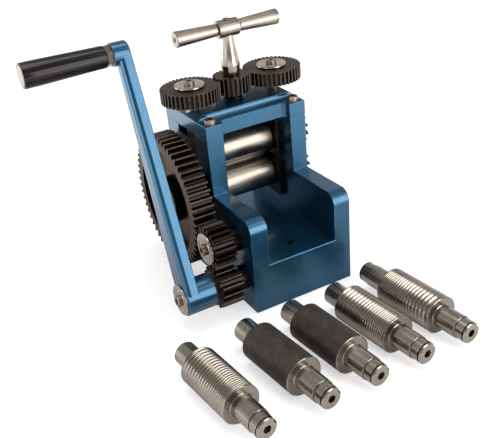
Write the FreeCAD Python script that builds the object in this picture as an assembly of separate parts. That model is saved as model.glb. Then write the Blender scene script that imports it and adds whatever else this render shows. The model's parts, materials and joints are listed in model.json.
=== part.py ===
import FreeCAD, Part
import math
import os

# A hand-cranked jewellers rolling mill with its five interchangeable rolls.
# Millimetres. +Z is up, X runs along the rolls, the crank is on the -X side.
# The origin is the centre of the two bench bolts on the underside of the casting.

Vector = FreeCAD.Vector
AXIS_X = Vector(1, 0, 0)
AXIS_Y = Vector(0, 1, 0)
AXIS_Z = Vector(0, 0, 1)

# ---- frame casting
FRAME_WIDTH = 129.0
CHEEK_THICKNESS = 21.0
TRAY_LENGTH = 83.0
HOUSING_DEPTH = 106.0
FLOOR_HEIGHT = 57.0
TRAY_WALL_RISE = 57.0
TRAY_CORNER_RADIUS = 14.0
WINDOW_WIDTH = 40.0
WINDOW_SILL_HEIGHT = 74.0
BENCH_BOLT_SPACING = 144.0
FRONT_BOLT_INSET = 28.0
BENCH_BOLT_RADIUS = 4.5
POCKET_WALL = 12.0
POCKET_FLOOR = 17.0
POCKET_LENGTH = 66.0

# ---- top cap
CAP_THICKNESS = 16.5
CAP_BAR_SETBACK = 9.0
CAP_CORNER_RADIUS = 8.0
PAD_RISE = 6.5
PAD_SETBACK = 21.0
PAD_END_BEVEL = 7.5
PAD_FILLET = 5.0
CAP_BOLT_INSET = 9.5
CAP_BOLT_RADIUS = 5.0
CAP_BOLT_DEPTH = 26.0
CAP_BOLT_HEAD_RADIUS = 6.5
CAP_BOLT_HEAD_HEIGHT = 5.5

# ---- rolls
ROLL_RADIUS = 21.0
LOWER_AXIS_HEIGHT = 100.0
NIP_GAP = 4.0
JOURNAL_RADIUS = 12.5
JOURNAL_PROUD = 1.0
SEAT_RADIUS = 11.5
SEAT_LENGTH = 13.0
END_SCREW_RADIUS = 4.0
END_SCREW_DEPTH = 16.0
KEY_WIDTH = 5.0
KEY_HEIGHT = 5.0
KEY_END_MARGIN = 1.0

# ---- bearing blocks and bushes
BLOCK_BELOW = 20.0
BLOCK_ABOVE = 26.0
BLOCK_SIDE_CLEARANCE = 0.1
BLOCK_FLANGE_WIDTH = 60.0
BLOCK_FLANGE_THICKNESS = 5.5
SHOULDER_CLEARANCE = 0.4
BUSH_WALL = 3.0
HEADROOM = 9.5
SPRING_OFFSET = 15.5
SPRING_RADIUS = 2.6
SPRING_WALL = 0.8
SPRING_POCKET = 8.0

# ---- fits
RUNNING_CLEARANCE = 0.05
FACE_CLEARANCE = 0.4
# how far a cutter runs past the faces it opens
OVERCUT = 1.0

# ---- drive train
DRIVE_MODULE = 2.75
PINION_TEETH = 16
IDLER_TEETH = 17
BIG_GEAR_TEETH = 56
DRIVE_FACE_WIDTH = 26.0
DRIVE_GEAR_OFFSET = 11.3
IDLER_DROP_ANGLE = 11.3
PINION_LEAN_ANGLE = 14.9
IDLER_FACE_SETBACK = 1.5
BIG_RIM_RADIUS = 64.0
BIG_HUB_RADIUS = 28.0
BIG_WEB_RECESS = 12.0
INNER_HUB_RADIUS = 19.0
SMALL_HUB_RADIUS = 14.0
DRIVE_SHAFT_RADIUS = 9.0
DRIVE_SHAFT_BEARING = 44.0
STUD_RADIUS = 10.0
STUD_SEAT = 18.0
IDLER_BUSH_WALL = 2.5

# ---- coupling gears between the rolls
COUPLING_TEETH = 14
COUPLING_ADDENDUM = 3.6
COUPLING_DEDENDUM = 4.6
COUPLING_RECESS = 8.0
COUPLING_RECESS_RADIUS = 14.5

# ---- gear teeth
PRESSURE_ANGLE = math.radians(20.0)
BACKLASH = 0.3
ADDENDUM = 1.0
DEDENDUM = 1.25
LEAST_ROOT_STEP = 0.2

# ---- crank
ARM_LENGTH = 270.0
ARM_LEAN_ANGLE = 19.5
ARM_THICKNESS = 14.5
ARM_EDGE_RADIUS = 6.0
ARM_ROOT_REAR = 16.5
ARM_ROOT_FRONT = 19.0
ARM_TIP_REAR = 6.0
ARM_TIP_FRONT = 11.0
CRANK_BOSS_RADIUS = 19.3
CRANK_BOSS_GAP = 5.2
CRANK_BOSS_LENGTH = 35.0
TOP_BOSS_RADIUS = 12.5
TOP_BOSS_RISE = 5.0
GRIP_NUT_LENGTH = 6.0
GRIP_NUT_FLATS = 20.0
GRIP_LENGTH = 87.5
GRIP_INNER_RADIUS = 11.7
GRIP_OUTER_RADIUS = 13.3
GRIP_BOLT_RADIUS = 5.0
GRIP_BOLT_HEAD_RADIUS = 7.5
GRIP_BOLT_HEAD_HEIGHT = 4.0
GRIP_HEAD_INSET = 6.0
GRIP_CAP_RADIUS = 11.3
GRIP_CAP_THICKNESS = 1.5

# ---- washers and screws
WASHER_THICKNESS = 2.5
SCREW_HEAD_RADIUS = 6.5
SCREW_HEAD_HEIGHT = 4.0
SCREW_SHANK_RADIUS = 4.0
SCREW_LENGTH = 14.0
CRANK_WASHER_RADIUS = 17.7
IDLER_WASHER_RADIUS = 18.5
BIG_WASHER_RADIUS = 20.0
COUPLING_FLANGE_RADIUS = 14.0
COUPLING_FLANGE_THICKNESS = 2.5
ADJUST_WASHER_RADIUS = 17.5

# ---- adjusting gears, screws and handle
ADJUST_MODULE = 1.66
ADJUST_TEETH = 40
CENTRE_TEETH = 25
ADJUST_ADDENDUM = 1.1
ADJUST_DEDENDUM = 1.5
ADJUST_GEAR_HEIGHT = 16.0
ADJUST_GEAR_GAP = 9.0
ADJUST_SCREW_RADIUS = 8.0
ADJUST_SEAT_RADIUS = 7.0
CENTRE_GEAR_OVERLAP_BELOW = 2.5
CENTRE_GEAR_OVERLAP_ABOVE = 1.5
CENTRE_HUB_RADIUS = 11.0
SPINDLE_SHANK_RADIUS = 7.0
SPINDLE_BUSH_WALL = 3.0
SPINDLE_FOOT_RADIUS = 8.0
SPINDLE_WAIST_RADIUS = 11.1
SPINDLE_WAIST_RISE = 12.0
SPINDLE_NECK_RADIUS = 7.0
SPINDLE_RISE = 44.0
SPINDLE_RING_RADIUS = 10.0
SPINDLE_RING_THICKNESS = 2.0
SPINDLE_TAIL = 1.5
HUB_RADIUS = 10.0
HUB_LENGTH = 26.0
SPINDLE_PIN_RADIUS = 3.5
HANDLE_BAR_END_RADIUS = 9.1
HANDLE_BAR_ROOT_RADIUS = 7.0
HANDLE_BAR_LENGTH = 52.0
HANDLE_STUD_RADIUS = 5.0
HANDLE_STUD_LENGTH = 8.0
HANDLE_NECK_LENGTH = 1.2
HANDLE_NECK_RADIUS = 6.2
HANDLE_END_CHAMFER = 1.0

# ---- spare rolls, laid on the bench in front of the mill
SPARE_ROW_SETBACK = 105.0
SPARE_PITCH = 56.8
SPARE_COUNT = 5
SPARE_ROW_END = 72.8
SPARE_ARM_CLEARANCE = 1.0
SPARE_TURN_ANGLE = 4.9
SPARE_KEY_ANGLE = -62.0
SPARE_REAR_SEAT_LENGTH = 12.0
GROOVE_COUNT = 3
GROOVE_WIDTH_MIN = 3.0
GROOVE_WIDTH_STEP = 2.5
GROOVE_LAND = 2.0
GROOVE_SLOPE = 0.55

# ---- derived places
HALF_WIDTH = FRAME_WIDTH / 2
CHEEK_INNER = HALF_WIDTH - CHEEK_THICKNESS
CHEEK_MIDDLE = HALF_WIDTH - CHEEK_THICKNESS / 2
FRONT_Y = -BENCH_BOLT_SPACING / 2 - FRONT_BOLT_INSET
HOUSING_FRONT = FRONT_Y + TRAY_LENGTH
HOUSING_REAR = HOUSING_FRONT + HOUSING_DEPTH
ROLL_Y = HOUSING_FRONT + HOUSING_DEPTH / 2
UPPER_AXIS_HEIGHT = LOWER_AXIS_HEIGHT + 2 * ROLL_RADIUS + NIP_GAP
UPPER_BLOCK_TOP = UPPER_AXIS_HEIGHT + BLOCK_ABOVE
SEAM_HEIGHT = UPPER_BLOCK_TOP + HEADROOM
CAP_TOP = SEAM_HEIGHT + CAP_THICKNESS
PAD_TOP = CAP_TOP + PAD_RISE
TRAY_WALL_TOP = FLOOR_HEIGHT + TRAY_WALL_RISE
BUSH_RADIUS = JOURNAL_RADIUS + BUSH_WALL
JOURNAL_BORE = JOURNAL_RADIUS + RUNNING_CLEARANCE
BLOCK_INNER = CHEEK_INNER - BLOCK_SIDE_CLEARANCE - BLOCK_FLANGE_THICKNESS
LOWER_BLOCK_TOP = LOWER_AXIS_HEIGHT + BLOCK_BELOW
UPPER_BLOCK_BOTTOM = UPPER_AXIS_HEIGHT - BLOCK_BELOW

DRIVE_INNER = -HALF_WIDTH - DRIVE_GEAR_OFFSET
DRIVE_OUTER = DRIVE_INNER - DRIVE_FACE_WIDTH
HUB_FACE = -HALF_WIDTH - FACE_CLEARANCE
ROLL_END = BLOCK_INNER - SHOULDER_CLEARANCE
JOURNAL_END = HALF_WIDTH + JOURNAL_PROUD
SEAT_END = JOURNAL_END + SEAT_LENGTH
COUPLING_OUTER = SEAT_END + COUPLING_RECESS
LONG_END = DRIVE_OUTER + FACE_CLEARANCE


def pitch_radius(teeth, module):
    return teeth * module / 2


IDLER_REACH = pitch_radius(IDLER_TEETH, DRIVE_MODULE) + pitch_radius(BIG_GEAR_TEETH, DRIVE_MODULE)
PINION_REACH = pitch_radius(IDLER_TEETH, DRIVE_MODULE) + pitch_radius(PINION_TEETH, DRIVE_MODULE)
IDLER_Y = ROLL_Y - IDLER_REACH * math.cos(math.radians(IDLER_DROP_ANGLE))
IDLER_Z = LOWER_AXIS_HEIGHT - IDLER_REACH * math.sin(math.radians(IDLER_DROP_ANGLE))
CRANK_Y = IDLER_Y - PINION_REACH * math.sin(math.radians(PINION_LEAN_ANGLE))
CRANK_Z = IDLER_Z - PINION_REACH * math.cos(math.radians(PINION_LEAN_ANGLE))
CRANK_BOSS_INNER = DRIVE_OUTER - CRANK_BOSS_GAP
ARM_OUTER = CRANK_BOSS_INNER - CRANK_BOSS_LENGTH
ARM_INNER = ARM_OUTER + ARM_THICKNESS
GRIP_Y = CRANK_Y + ARM_LENGTH * math.sin(math.radians(ARM_LEAN_ANGLE))
GRIP_Z = CRANK_Z + ARM_LENGTH * math.cos(math.radians(ARM_LEAN_ANGLE))
TOP_BOSS_OUTER = ARM_OUTER - TOP_BOSS_RISE
IDLER_FACE = DRIVE_OUTER + IDLER_FACE_SETBACK
IDLER_WASHER_INNER = IDLER_FACE - 2 * RUNNING_CLEARANCE
GRIP_NUT_OUTER = TOP_BOSS_OUTER - GRIP_NUT_LENGTH
GRIP_INNER_END = GRIP_NUT_OUTER - FACE_CLEARANCE
GRIP_OUTER_END = GRIP_INNER_END - GRIP_LENGTH
GRIP_HEAD_SEAT = GRIP_OUTER_END + GRIP_HEAD_INSET
GRIP_CAP_INNER = GRIP_OUTER_END + GRIP_CAP_THICKNESS

ADJUST_CENTRES = pitch_radius(ADJUST_TEETH, ADJUST_MODULE) + pitch_radius(CENTRE_TEETH, ADJUST_MODULE)
ADJUST_GEAR_BOTTOM = PAD_TOP + ADJUST_GEAR_GAP
ADJUST_GEAR_TOP = ADJUST_GEAR_BOTTOM + ADJUST_GEAR_HEIGHT
CENTRE_GEAR_BOTTOM = ADJUST_GEAR_BOTTOM - CENTRE_GEAR_OVERLAP_BELOW
CENTRE_GEAR_TOP = ADJUST_GEAR_TOP + CENTRE_GEAR_OVERLAP_ABOVE
HUB_HEIGHT = CENTRE_GEAR_TOP + SPINDLE_RISE + HUB_RADIUS
NECK_TOP = HUB_HEIGHT - HUB_RADIUS / 2
SPINDLE_RING_TOP = SEAM_HEIGHT - 2 * RUNNING_CLEARANCE
SPINDLE_BOTTOM = SPINDLE_RING_TOP - SPINDLE_RING_THICKNESS - SPINDLE_TAIL

OUT_FILES = "parts"


# ---- general helpers
def box(x0, x1, y0, y1, z0, z1):
    return Part.makeBox(x1 - x0, y1 - y0, z1 - z0, Vector(x0, y0, z0))


def rod_x(x0, x1, y, z, radius):
    return Part.makeCylinder(radius, x1 - x0, Vector(x0, y, z), AXIS_X)


def rod_z(z0, z1, x, y, radius):
    return Part.makeCylinder(radius, z1 - z0, Vector(x, y, z0), AXIS_Z)


def tube_x(x0, x1, y, z, outer, inner):
    return rod_x(x0, x1, y, z, outer).cut(rod_x(x0, x1, y, z, inner))


def tube_z(z0, z1, x, y, outer, inner):
    return rod_z(z0, z1, x, y, outer).cut(rod_z(z0, z1, x, y, inner))


def save(name, shapes):
    solids = []
    for shape in shapes:
        solids.extend(shape.removeSplitter().Solids)
    body = solids[0] if len(solids) == 1 else Part.makeCompound(solids)
    body.exportStep(os.path.join(OUT_FILES, name + ".step"))


def turned_x(profile, y, z):
    """Solid of revolution about an X axis from (x, radius) corners, closed along the axis."""
    corners = [Vector(x, 0, radius) for x, radius in profile]
    ends = [Vector(profile[0][0], 0, 0)] + corners + [Vector(profile[-1][0], 0, 0)]
    face = Part.Face(Part.makePolygon(ends + [ends[0]]))
    solid = face.revolve(Vector(0, 0, 0), AXIS_X, 360)
    solid.translate(Vector(0, y, z))
    return solid


def turned_z(profile, x, y):
    """Solid of revolution about a Z axis from (radius, z) corners, closed along the axis."""
    corners = [Vector(radius, 0, height) for radius, height in profile]
    ends = [Vector(0, 0, profile[0][1])] + corners + [Vector(0, 0, profile[-1][1])]
    face = Part.Face(Part.makePolygon(ends + [ends[0]]))
    solid = face.revolve(Vector(0, 0, 0), AXIS_Z, 360)
    solid.translate(Vector(x, y, 0))
    return solid


def cap_screw(length, shank_radius, head_radius, head_height):
    """Cylinder-head screw along +Z: the head sits on z = 0 and the shank hangs below it."""
    profile = [(shank_radius, -length), (shank_radius, 0), (head_radius, 0), (head_radius, head_height)]
    return turned_z(profile, 0, 0)


def retaining_screw(x_face, y, z, towards_plus_x):
    """Screw along X whose head sits on the plane x_face."""
    screw = cap_screw(SCREW_LENGTH, SCREW_SHANK_RADIUS - RUNNING_CLEARANCE, SCREW_HEAD_RADIUS,
                      SCREW_HEAD_HEIGHT)
    screw.rotate(Vector(0, 0, 0), AXIS_Y, -90 if towards_plus_x else 90)
    screw.translate(Vector(x_face, y, z))
    return screw


# ---- gears
def involute(base_radius, radius):
    """Angle swept by the involute between its base circle and a radius."""
    if radius <= base_radius:
        return 0.0
    ratio = math.sqrt((radius / base_radius) ** 2 - 1)
    return ratio - math.atan(ratio)


def gear_outline(teeth, module, phase, addendum=None, dedendum=None):
    """Closed outline of a spur gear about the origin; one tooth is centred on angle phase (degrees)."""
    pitch = pitch_radius(teeth, module)
    tip = pitch + (module * ADDENDUM if addendum is None else addendum)
    root = pitch - (module * DEDENDUM if dedendum is None else dedendum)
    base = pitch * math.cos(PRESSURE_ANGLE)
    half_tooth = (math.pi * module / 2 - BACKLASH / 2) / (2 * pitch) + involute(base, pitch)
    radii = [root, tip]
    if base > root + LEAST_ROOT_STEP * module:
        radii = [root, base, tip]
    points = []
    for index in range(teeth):
        centre = math.radians(phase) + 2 * math.pi * index / teeth
        flank = [(radius, half_tooth - involute(base, radius)) for radius in radii]
        for radius, offset in flank:
            points.append((radius, centre - offset))
        for radius, offset in reversed(flank):
            points.append((radius, centre + offset))
    return [(radius * math.cos(angle), radius * math.sin(angle)) for radius, angle in points]


def gear_x(teeth, module, phase, x0, x1, y, z, addendum=None, dedendum=None):
    """Spur gear with its axis along X; angles run from +Y towards +Z."""
    outline = gear_outline(teeth, module, phase, addendum, dedendum)
    corners = [Vector(x0, y + u, z + v) for u, v in outline]
    return Part.Face(Part.makePolygon(corners + [corners[0]])).extrude(Vector(x1 - x0, 0, 0))


def gear_z(teeth, module, phase, z0, z1, x, y, addendum=None, dedendum=None):
    """Spur gear with its axis along Z; angles run from +X towards +Y."""
    outline = gear_outline(teeth, module, phase, addendum, dedendum)
    corners = [Vector(x + u, y + v, z0) for u, v in outline]
    return Part.Face(Part.makePolygon(corners + [corners[0]])).extrude(Vector(0, 0, z1 - z0))


def meshed_phase(phase, teeth, direction, other_teeth):
    """Phase of the gear that lies in a direction (degrees) from a gear of known phase and meshes with it."""
    lag = ((direction - phase) * teeth / 360.0) % 1.0
    return direction + 180 + (lag + 0.5) * 360.0 / other_teeth


BIG_PHASE = 90.0
IDLER_DIRECTION = 180.0 + IDLER_DROP_ANGLE
IDLER_PHASE = meshed_phase(BIG_PHASE, BIG_GEAR_TEETH, IDLER_DIRECTION, IDLER_TEETH)
PINION_DIRECTION = 270.0 - PINION_LEAN_ANGLE
PINION_PHASE = meshed_phase(IDLER_PHASE, IDLER_TEETH, PINION_DIRECTION, PINION_TEETH)
COUPLING_MODULE = 2 * ROLL_RADIUS / COUPLING_TEETH
LOWER_COUPLING_PHASE = 180.0
UPPER_COUPLING_PHASE = meshed_phase(LOWER_COUPLING_PHASE, COUPLING_TEETH, 90.0, COUPLING_TEETH)


# ---- frame
def cheek_profile():
    """Side outline of one cheek and its tray wall, in the YZ plane."""
    corner = TRAY_CORNER_RADIUS
    arc_middle = Vector(0, FRONT_Y + corner * (1 - math.cos(math.pi / 4)),
                        TRAY_WALL_TOP - corner * (1 - math.sin(math.pi / 4)))
    arc_start = Vector(0, FRONT_Y, TRAY_WALL_TOP - corner)
    arc_end = Vector(0, FRONT_Y + corner, TRAY_WALL_TOP)
    outline = [arc_end, Vector(0, HOUSING_FRONT, TRAY_WALL_TOP), Vector(0, HOUSING_FRONT, SEAM_HEIGHT),
               Vector(0, HOUSING_REAR, SEAM_HEIGHT), Vector(0, HOUSING_REAR, 0), Vector(0, FRONT_Y, 0),
               arc_start]
    edges = [Part.Arc(arc_start, arc_middle, arc_end).toShape()]
    for first, second in zip(outline[:-1], outline[1:]):
        edges.append(Part.makeLine(first, second))
    return Part.Face(Part.Wire(Part.__sortEdges__(edges)))


def cap_bolt_places():
    places = []
    for x in (-CHEEK_MIDDLE, CHEEK_MIDDLE):
        for y in (HOUSING_FRONT + CAP_BOLT_INSET, HOUSING_REAR - CAP_BOLT_INSET):
            places.append((x, y))
    return places


def window(side):
    """Slot through one cheek that guides the two bearing blocks."""
    x0 = min(side * CHEEK_INNER, side * HALF_WIDTH)
    half = WINDOW_WIDTH / 2
    return box(x0 - OVERCUT, x0 + CHEEK_THICKNESS + OVERCUT, ROLL_Y - half, ROLL_Y + half,
               WINDOW_SILL_HEIGHT, SEAM_HEIGHT + OVERCUT)


def base_casting():
    body = box(-CHEEK_INNER, CHEEK_INNER, FRONT_Y, HOUSING_REAR, 0, FLOOR_HEIGHT)
    for x0 in (-HALF_WIDTH, CHEEK_INNER):
        cheek = cheek_profile().extrude(Vector(CHEEK_THICKNESS, 0, 0))
        cheek.translate(Vector(x0, 0, 0))
        body = body.fuse(cheek)
    body = body.cut(window(-1)).cut(window(1))
    pocket_front = HOUSING_FRONT + POCKET_WALL
    body = body.cut(box(-HALF_WIDTH + POCKET_WALL, HALF_WIDTH - POCKET_WALL, pocket_front,
                        pocket_front + POCKET_LENGTH, -OVERCUT, FLOOR_HEIGHT - POCKET_FLOOR))
    for y in (-BENCH_BOLT_SPACING / 2, BENCH_BOLT_SPACING / 2):
        body = body.cut(rod_z(-OVERCUT, FLOOR_HEIGHT + OVERCUT, 0, y, BENCH_BOLT_RADIUS))
    for x, y in cap_bolt_places():
        body = body.cut(rod_z(SEAM_HEIGHT - CAP_BOLT_DEPTH, SEAM_HEIGHT + OVERCUT, x, y, CAP_BOLT_RADIUS))
    bush_bore = DRIVE_SHAFT_RADIUS + BUSH_WALL
    outside = -HALF_WIDTH - OVERCUT
    body = body.cut(rod_x(outside, -HALF_WIDTH + DRIVE_SHAFT_BEARING, CRANK_Y, CRANK_Z, bush_bore))
    return body.cut(rod_x(outside, -HALF_WIDTH + STUD_SEAT, IDLER_Y, IDLER_Z, STUD_RADIUS))


def cap_outline():
    """Plan of the cap: full-depth end blocks joined by a narrower bar."""
    plate = box(-HALF_WIDTH, HALF_WIDTH, HOUSING_FRONT, HOUSING_REAR, SEAM_HEIGHT, CAP_TOP)
    front_step, rear_step = HOUSING_FRONT + CAP_BAR_SETBACK, HOUSING_REAR - CAP_BAR_SETBACK
    for y0, y1, step in ((HOUSING_FRONT - OVERCUT, front_step, front_step),
                         (rear_step, HOUSING_REAR + OVERCUT, rear_step)):
        notch = box(-CHEEK_INNER, CHEEK_INNER, y0, y1, SEAM_HEIGHT - OVERCUT, CAP_TOP + OVERCUT)
        corners = [e for e in notch.Edges if e.BoundBox.ZLength > CAP_THICKNESS
                   and abs(e.BoundBox.YMin - step) < 1e-6]
        plate = plate.cut(notch.makeFillet(CAP_CORNER_RADIUS, corners))
    return plate


def cap_pad():
    """Raised pad along the top of the cap with bevelled ends."""
    low = CAP_TOP - OVERCUT
    outline = [(-HALF_WIDTH, low), (HALF_WIDTH, low), (HALF_WIDTH, CAP_TOP),
               (HALF_WIDTH - PAD_END_BEVEL, PAD_TOP), (-HALF_WIDTH + PAD_END_BEVEL, PAD_TOP),
               (-HALF_WIDTH, CAP_TOP)]
    corners = [Vector(x, HOUSING_FRONT + PAD_SETBACK, z) for x, z in outline]
    face = Part.Face(Part.makePolygon(corners + [corners[0]]))
    return face.extrude(Vector(0, HOUSING_DEPTH - 2 * PAD_SETBACK, 0))


def top_cap():
    body = cap_outline().fuse(cap_pad()).removeSplitter()
    feet = []
    for edge in body.Edges:
        place = edge.BoundBox
        flat = abs(place.ZMin - CAP_TOP) < 1e-6 and place.ZLength < 1e-6 and place.YLength < 1e-6
        at_pad = min(abs(place.YMin - HOUSING_FRONT - PAD_SETBACK),
                     abs(place.YMin - HOUSING_REAR + PAD_SETBACK)) < 1e-6
        if flat and at_pad and place.XLength > FRAME_WIDTH / 2:
            feet.append(edge)
    body = body.makeFillet(PAD_FILLET, feet)
    for x in (-ADJUST_CENTRES, ADJUST_CENTRES):
        body = body.cut(rod_z(SEAM_HEIGHT - OVERCUT, PAD_TOP + OVERCUT, x, ROLL_Y, ADJUST_SCREW_RADIUS))
    bush_seat = SPINDLE_SHANK_RADIUS + SPINDLE_BUSH_WALL
    body = body.cut(rod_z(SEAM_HEIGHT - OVERCUT, PAD_TOP + OVERCUT, 0, ROLL_Y, bush_seat))
    for x, y in cap_bolt_places():
        body = body.cut(rod_z(SEAM_HEIGHT - OVERCUT, CAP_TOP + OVERCUT, x, y, CAP_BOLT_RADIUS))
    return body


def cap_bolts():
    bolts = []
    for x, y in cap_bolt_places():
        bolt = cap_screw(CAP_THICKNESS + CAP_BOLT_DEPTH - FACE_CLEARANCE, CAP_BOLT_RADIUS - RUNNING_CLEARANCE,
                         CAP_BOLT_HEAD_RADIUS, CAP_BOLT_HEAD_HEIGHT)
        bolt.translate(Vector(x, y, CAP_TOP))
        bolts.append(bolt)
    return bolts


# ---- bearing blocks, bushes and springs
def spring_places(side):
    return [(side * CHEEK_MIDDLE, ROLL_Y - SPRING_OFFSET), (side * CHEEK_MIDDLE, ROLL_Y + SPRING_OFFSET)]


def bearing_block(side, axis_height, z0, z1, pocket_z0, pocket_z1):
    half_slide = WINDOW_WIDTH / 2 - BLOCK_SIDE_CLEARANCE
    slide_x = sorted((side * BLOCK_INNER, side * HALF_WIDTH))
    flange_x = sorted((side * BLOCK_INNER, side * (BLOCK_INNER + BLOCK_FLANGE_THICKNESS)))
    half_flange = BLOCK_FLANGE_WIDTH / 2
    body = box(slide_x[0], slide_x[1], ROLL_Y - half_slide, ROLL_Y + half_slide, z0, z1)
    body = body.fuse(box(flange_x[0], flange_x[1], ROLL_Y - half_flange, ROLL_Y + half_flange, z0, z1))
    body = body.cut(rod_x(slide_x[0] - OVERCUT, slide_x[1] + OVERCUT, ROLL_Y, axis_height, BUSH_RADIUS))
    for x, y in spring_places(side):
        body = body.cut(rod_z(pocket_z0, pocket_z1, x, y, SPRING_RADIUS + 2 * RUNNING_CLEARANCE))
    return body


def bearing_bush(side, axis_height):
    span = sorted((side * BLOCK_INNER, side * HALF_WIDTH))
    return tube_x(span[0], span[1], ROLL_Y, axis_height, BUSH_RADIUS, JOURNAL_BORE)


def lift_springs():
    springs = []
    for side in (-1, 1):
        for x, y in spring_places(side):
            springs.append(tube_z(LOWER_BLOCK_TOP - SPRING_POCKET, UPPER_BLOCK_BOTTOM + SPRING_POCKET, x, y,
                                  SPRING_RADIUS, SPRING_RADIUS - SPRING_WALL))
    return springs


# ---- rolls
def keyway(x0, x1, y, z, seat_radius):
    """Slot on top of a shaft that holds half of the key."""
    return box(x0, x1, y - KEY_WIDTH / 2, y + KEY_WIDTH / 2, z + seat_radius - KEY_HEIGHT / 2,
               z + seat_radius + KEY_HEIGHT)


def key(x0, x1, y, z, seat_radius):
    return box(x0, x1, y - KEY_WIDTH / 2, y + KEY_WIDTH / 2, z + seat_radius - KEY_HEIGHT / 2,
               z + seat_radius + KEY_HEIGHT / 2)


def right_end_profile():
    """Corners of the keyed end, from the roll's shoulder outwards."""
    return [(ROLL_END, JOURNAL_RADIUS), (JOURNAL_END, JOURNAL_RADIUS), (JOURNAL_END, SEAT_RADIUS),
            (SEAT_END, SEAT_RADIUS)]


def finish_right_end(body, y, z):
    """Cut the keyway and the screw hole of the keyed end."""
    body = body.cut(keyway(JOURNAL_END + KEY_END_MARGIN, SEAT_END + OVERCUT, y, z, SEAT_RADIUS))
    return body.cut(rod_x(SEAT_END - END_SCREW_DEPTH, SEAT_END + OVERCUT, y, z, END_SCREW_RADIUS))


def short_roll(y, z, grooves=(), rear_seat_length=0.0):
    """Roll with the keyed end at +X and, at -X, a journal that is plain or carries a second seat."""
    profile = [(-JOURNAL_END, JOURNAL_RADIUS), (-ROLL_END, JOURNAL_RADIUS), (-ROLL_END, ROLL_RADIUS)]
    if rear_seat_length > 0:
        profile = [(-JOURNAL_END - rear_seat_length, SEAT_RADIUS), (-JOURNAL_END, SEAT_RADIUS)] + profile
    for start, width in grooves:
        profile.append((start, ROLL_RADIUS))
        profile.append((start + width / 2, ROLL_RADIUS - width * GROOVE_SLOPE))
        profile.append((start + width, ROLL_RADIUS))
    profile = profile + [(ROLL_END, ROLL_RADIUS)] + right_end_profile()
    return finish_right_end(turned_x(profile, y, z), y, z)


def lower_roll():
    """Driven roll: its -X journal runs on through the big gear."""
    y, z = ROLL_Y, LOWER_AXIS_HEIGHT
    profile = [(LONG_END, SEAT_RADIUS), (-JOURNAL_END, SEAT_RADIUS), (-JOURNAL_END, JOURNAL_RADIUS),
               (-ROLL_END, JOURNAL_RADIUS), (-ROLL_END, ROLL_RADIUS), (ROLL_END, ROLL_RADIUS)]
    profile = profile + right_end_profile()
    body = finish_right_end(turned_x(profile, y, z), y, z)
    body = body.cut(keyway(LONG_END - OVERCUT, DRIVE_INNER, y, z, SEAT_RADIUS))
    return body.cut(rod_x(LONG_END - OVERCUT, LONG_END + END_SCREW_DEPTH, y, z, END_SCREW_RADIUS))


# ---- drive gears
def big_gear():
    """Driven gear: a deep recess in its outer face leaves a rim, a web and a hub."""
    y, z = ROLL_Y, LOWER_AXIS_HEIGHT
    body = gear_x(BIG_GEAR_TEETH, DRIVE_MODULE, BIG_PHASE, DRIVE_OUTER, DRIVE_INNER, y, z)
    outside = DRIVE_OUTER - OVERCUT
    body = body.cut(tube_x(outside, DRIVE_OUTER + BIG_WEB_RECESS, y, z, BIG_RIM_RADIUS, BIG_HUB_RADIUS))
    body = body.fuse(rod_x(DRIVE_INNER, -JOURNAL_END, y, z, INNER_HUB_RADIUS))
    body = body.cut(rod_x(outside, -JOURNAL_END + OVERCUT, y, z, SEAT_RADIUS))
    return body.cut(key(outside, DRIVE_INNER, y, z, SEAT_RADIUS))


def big_gear_key():
    return key(LONG_END, DRIVE_INNER, ROLL_Y, LOWER_AXIS_HEIGHT, SEAT_RADIUS)


def idler_gear():
    body = gear_x(IDLER_TEETH, DRIVE_MODULE, IDLER_PHASE, IDLER_FACE, DRIVE_INNER, IDLER_Y, IDLER_Z)
    body = body.fuse(rod_x(DRIVE_INNER, HUB_FACE, IDLER_Y, IDLER_Z, SMALL_HUB_RADIUS))
    return body.cut(rod_x(IDLER_FACE - OVERCUT, HUB_FACE + OVERCUT, IDLER_Y, IDLER_Z,
                          STUD_RADIUS + IDLER_BUSH_WALL))


def idler_bush():
    return tube_x(IDLER_FACE, HUB_FACE, IDLER_Y, IDLER_Z,
                  STUD_RADIUS + IDLER_BUSH_WALL, STUD_RADIUS + RUNNING_CLEARANCE)


def idler_stud():
    body = rod_x(IDLER_WASHER_INNER, -HALF_WIDTH + STUD_SEAT, IDLER_Y, IDLER_Z, STUD_RADIUS)
    hole_end = IDLER_WASHER_INNER + END_SCREW_DEPTH
    return body.cut(rod_x(IDLER_WASHER_INNER - OVERCUT, hole_end, IDLER_Y, IDLER_Z, END_SCREW_RADIUS))


def washer_x(x0, y, z, radius):
    return tube_x(x0, x0 + WASHER_THICKNESS, y, z, radius, SCREW_SHANK_RADIUS)


def drive_pinion():
    body = gear_x(PINION_TEETH, DRIVE_MODULE, PINION_PHASE, DRIVE_OUTER, DRIVE_INNER, CRANK_Y, CRANK_Z)
    body = body.fuse(rod_x(DRIVE_INNER, HUB_FACE, CRANK_Y, CRANK_Z, SMALL_HUB_RADIUS))
    body = body.cut(rod_x(DRIVE_OUTER - OVERCUT, HUB_FACE + OVERCUT, CRANK_Y, CRANK_Z, DRIVE_SHAFT_RADIUS))
    return body.cut(key(DRIVE_OUTER - OVERCUT, DRIVE_INNER, CRANK_Y, CRANK_Z, DRIVE_SHAFT_RADIUS))


def pinion_key():
    return key(DRIVE_OUTER, DRIVE_INNER, CRANK_Y, CRANK_Z, DRIVE_SHAFT_RADIUS)


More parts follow.
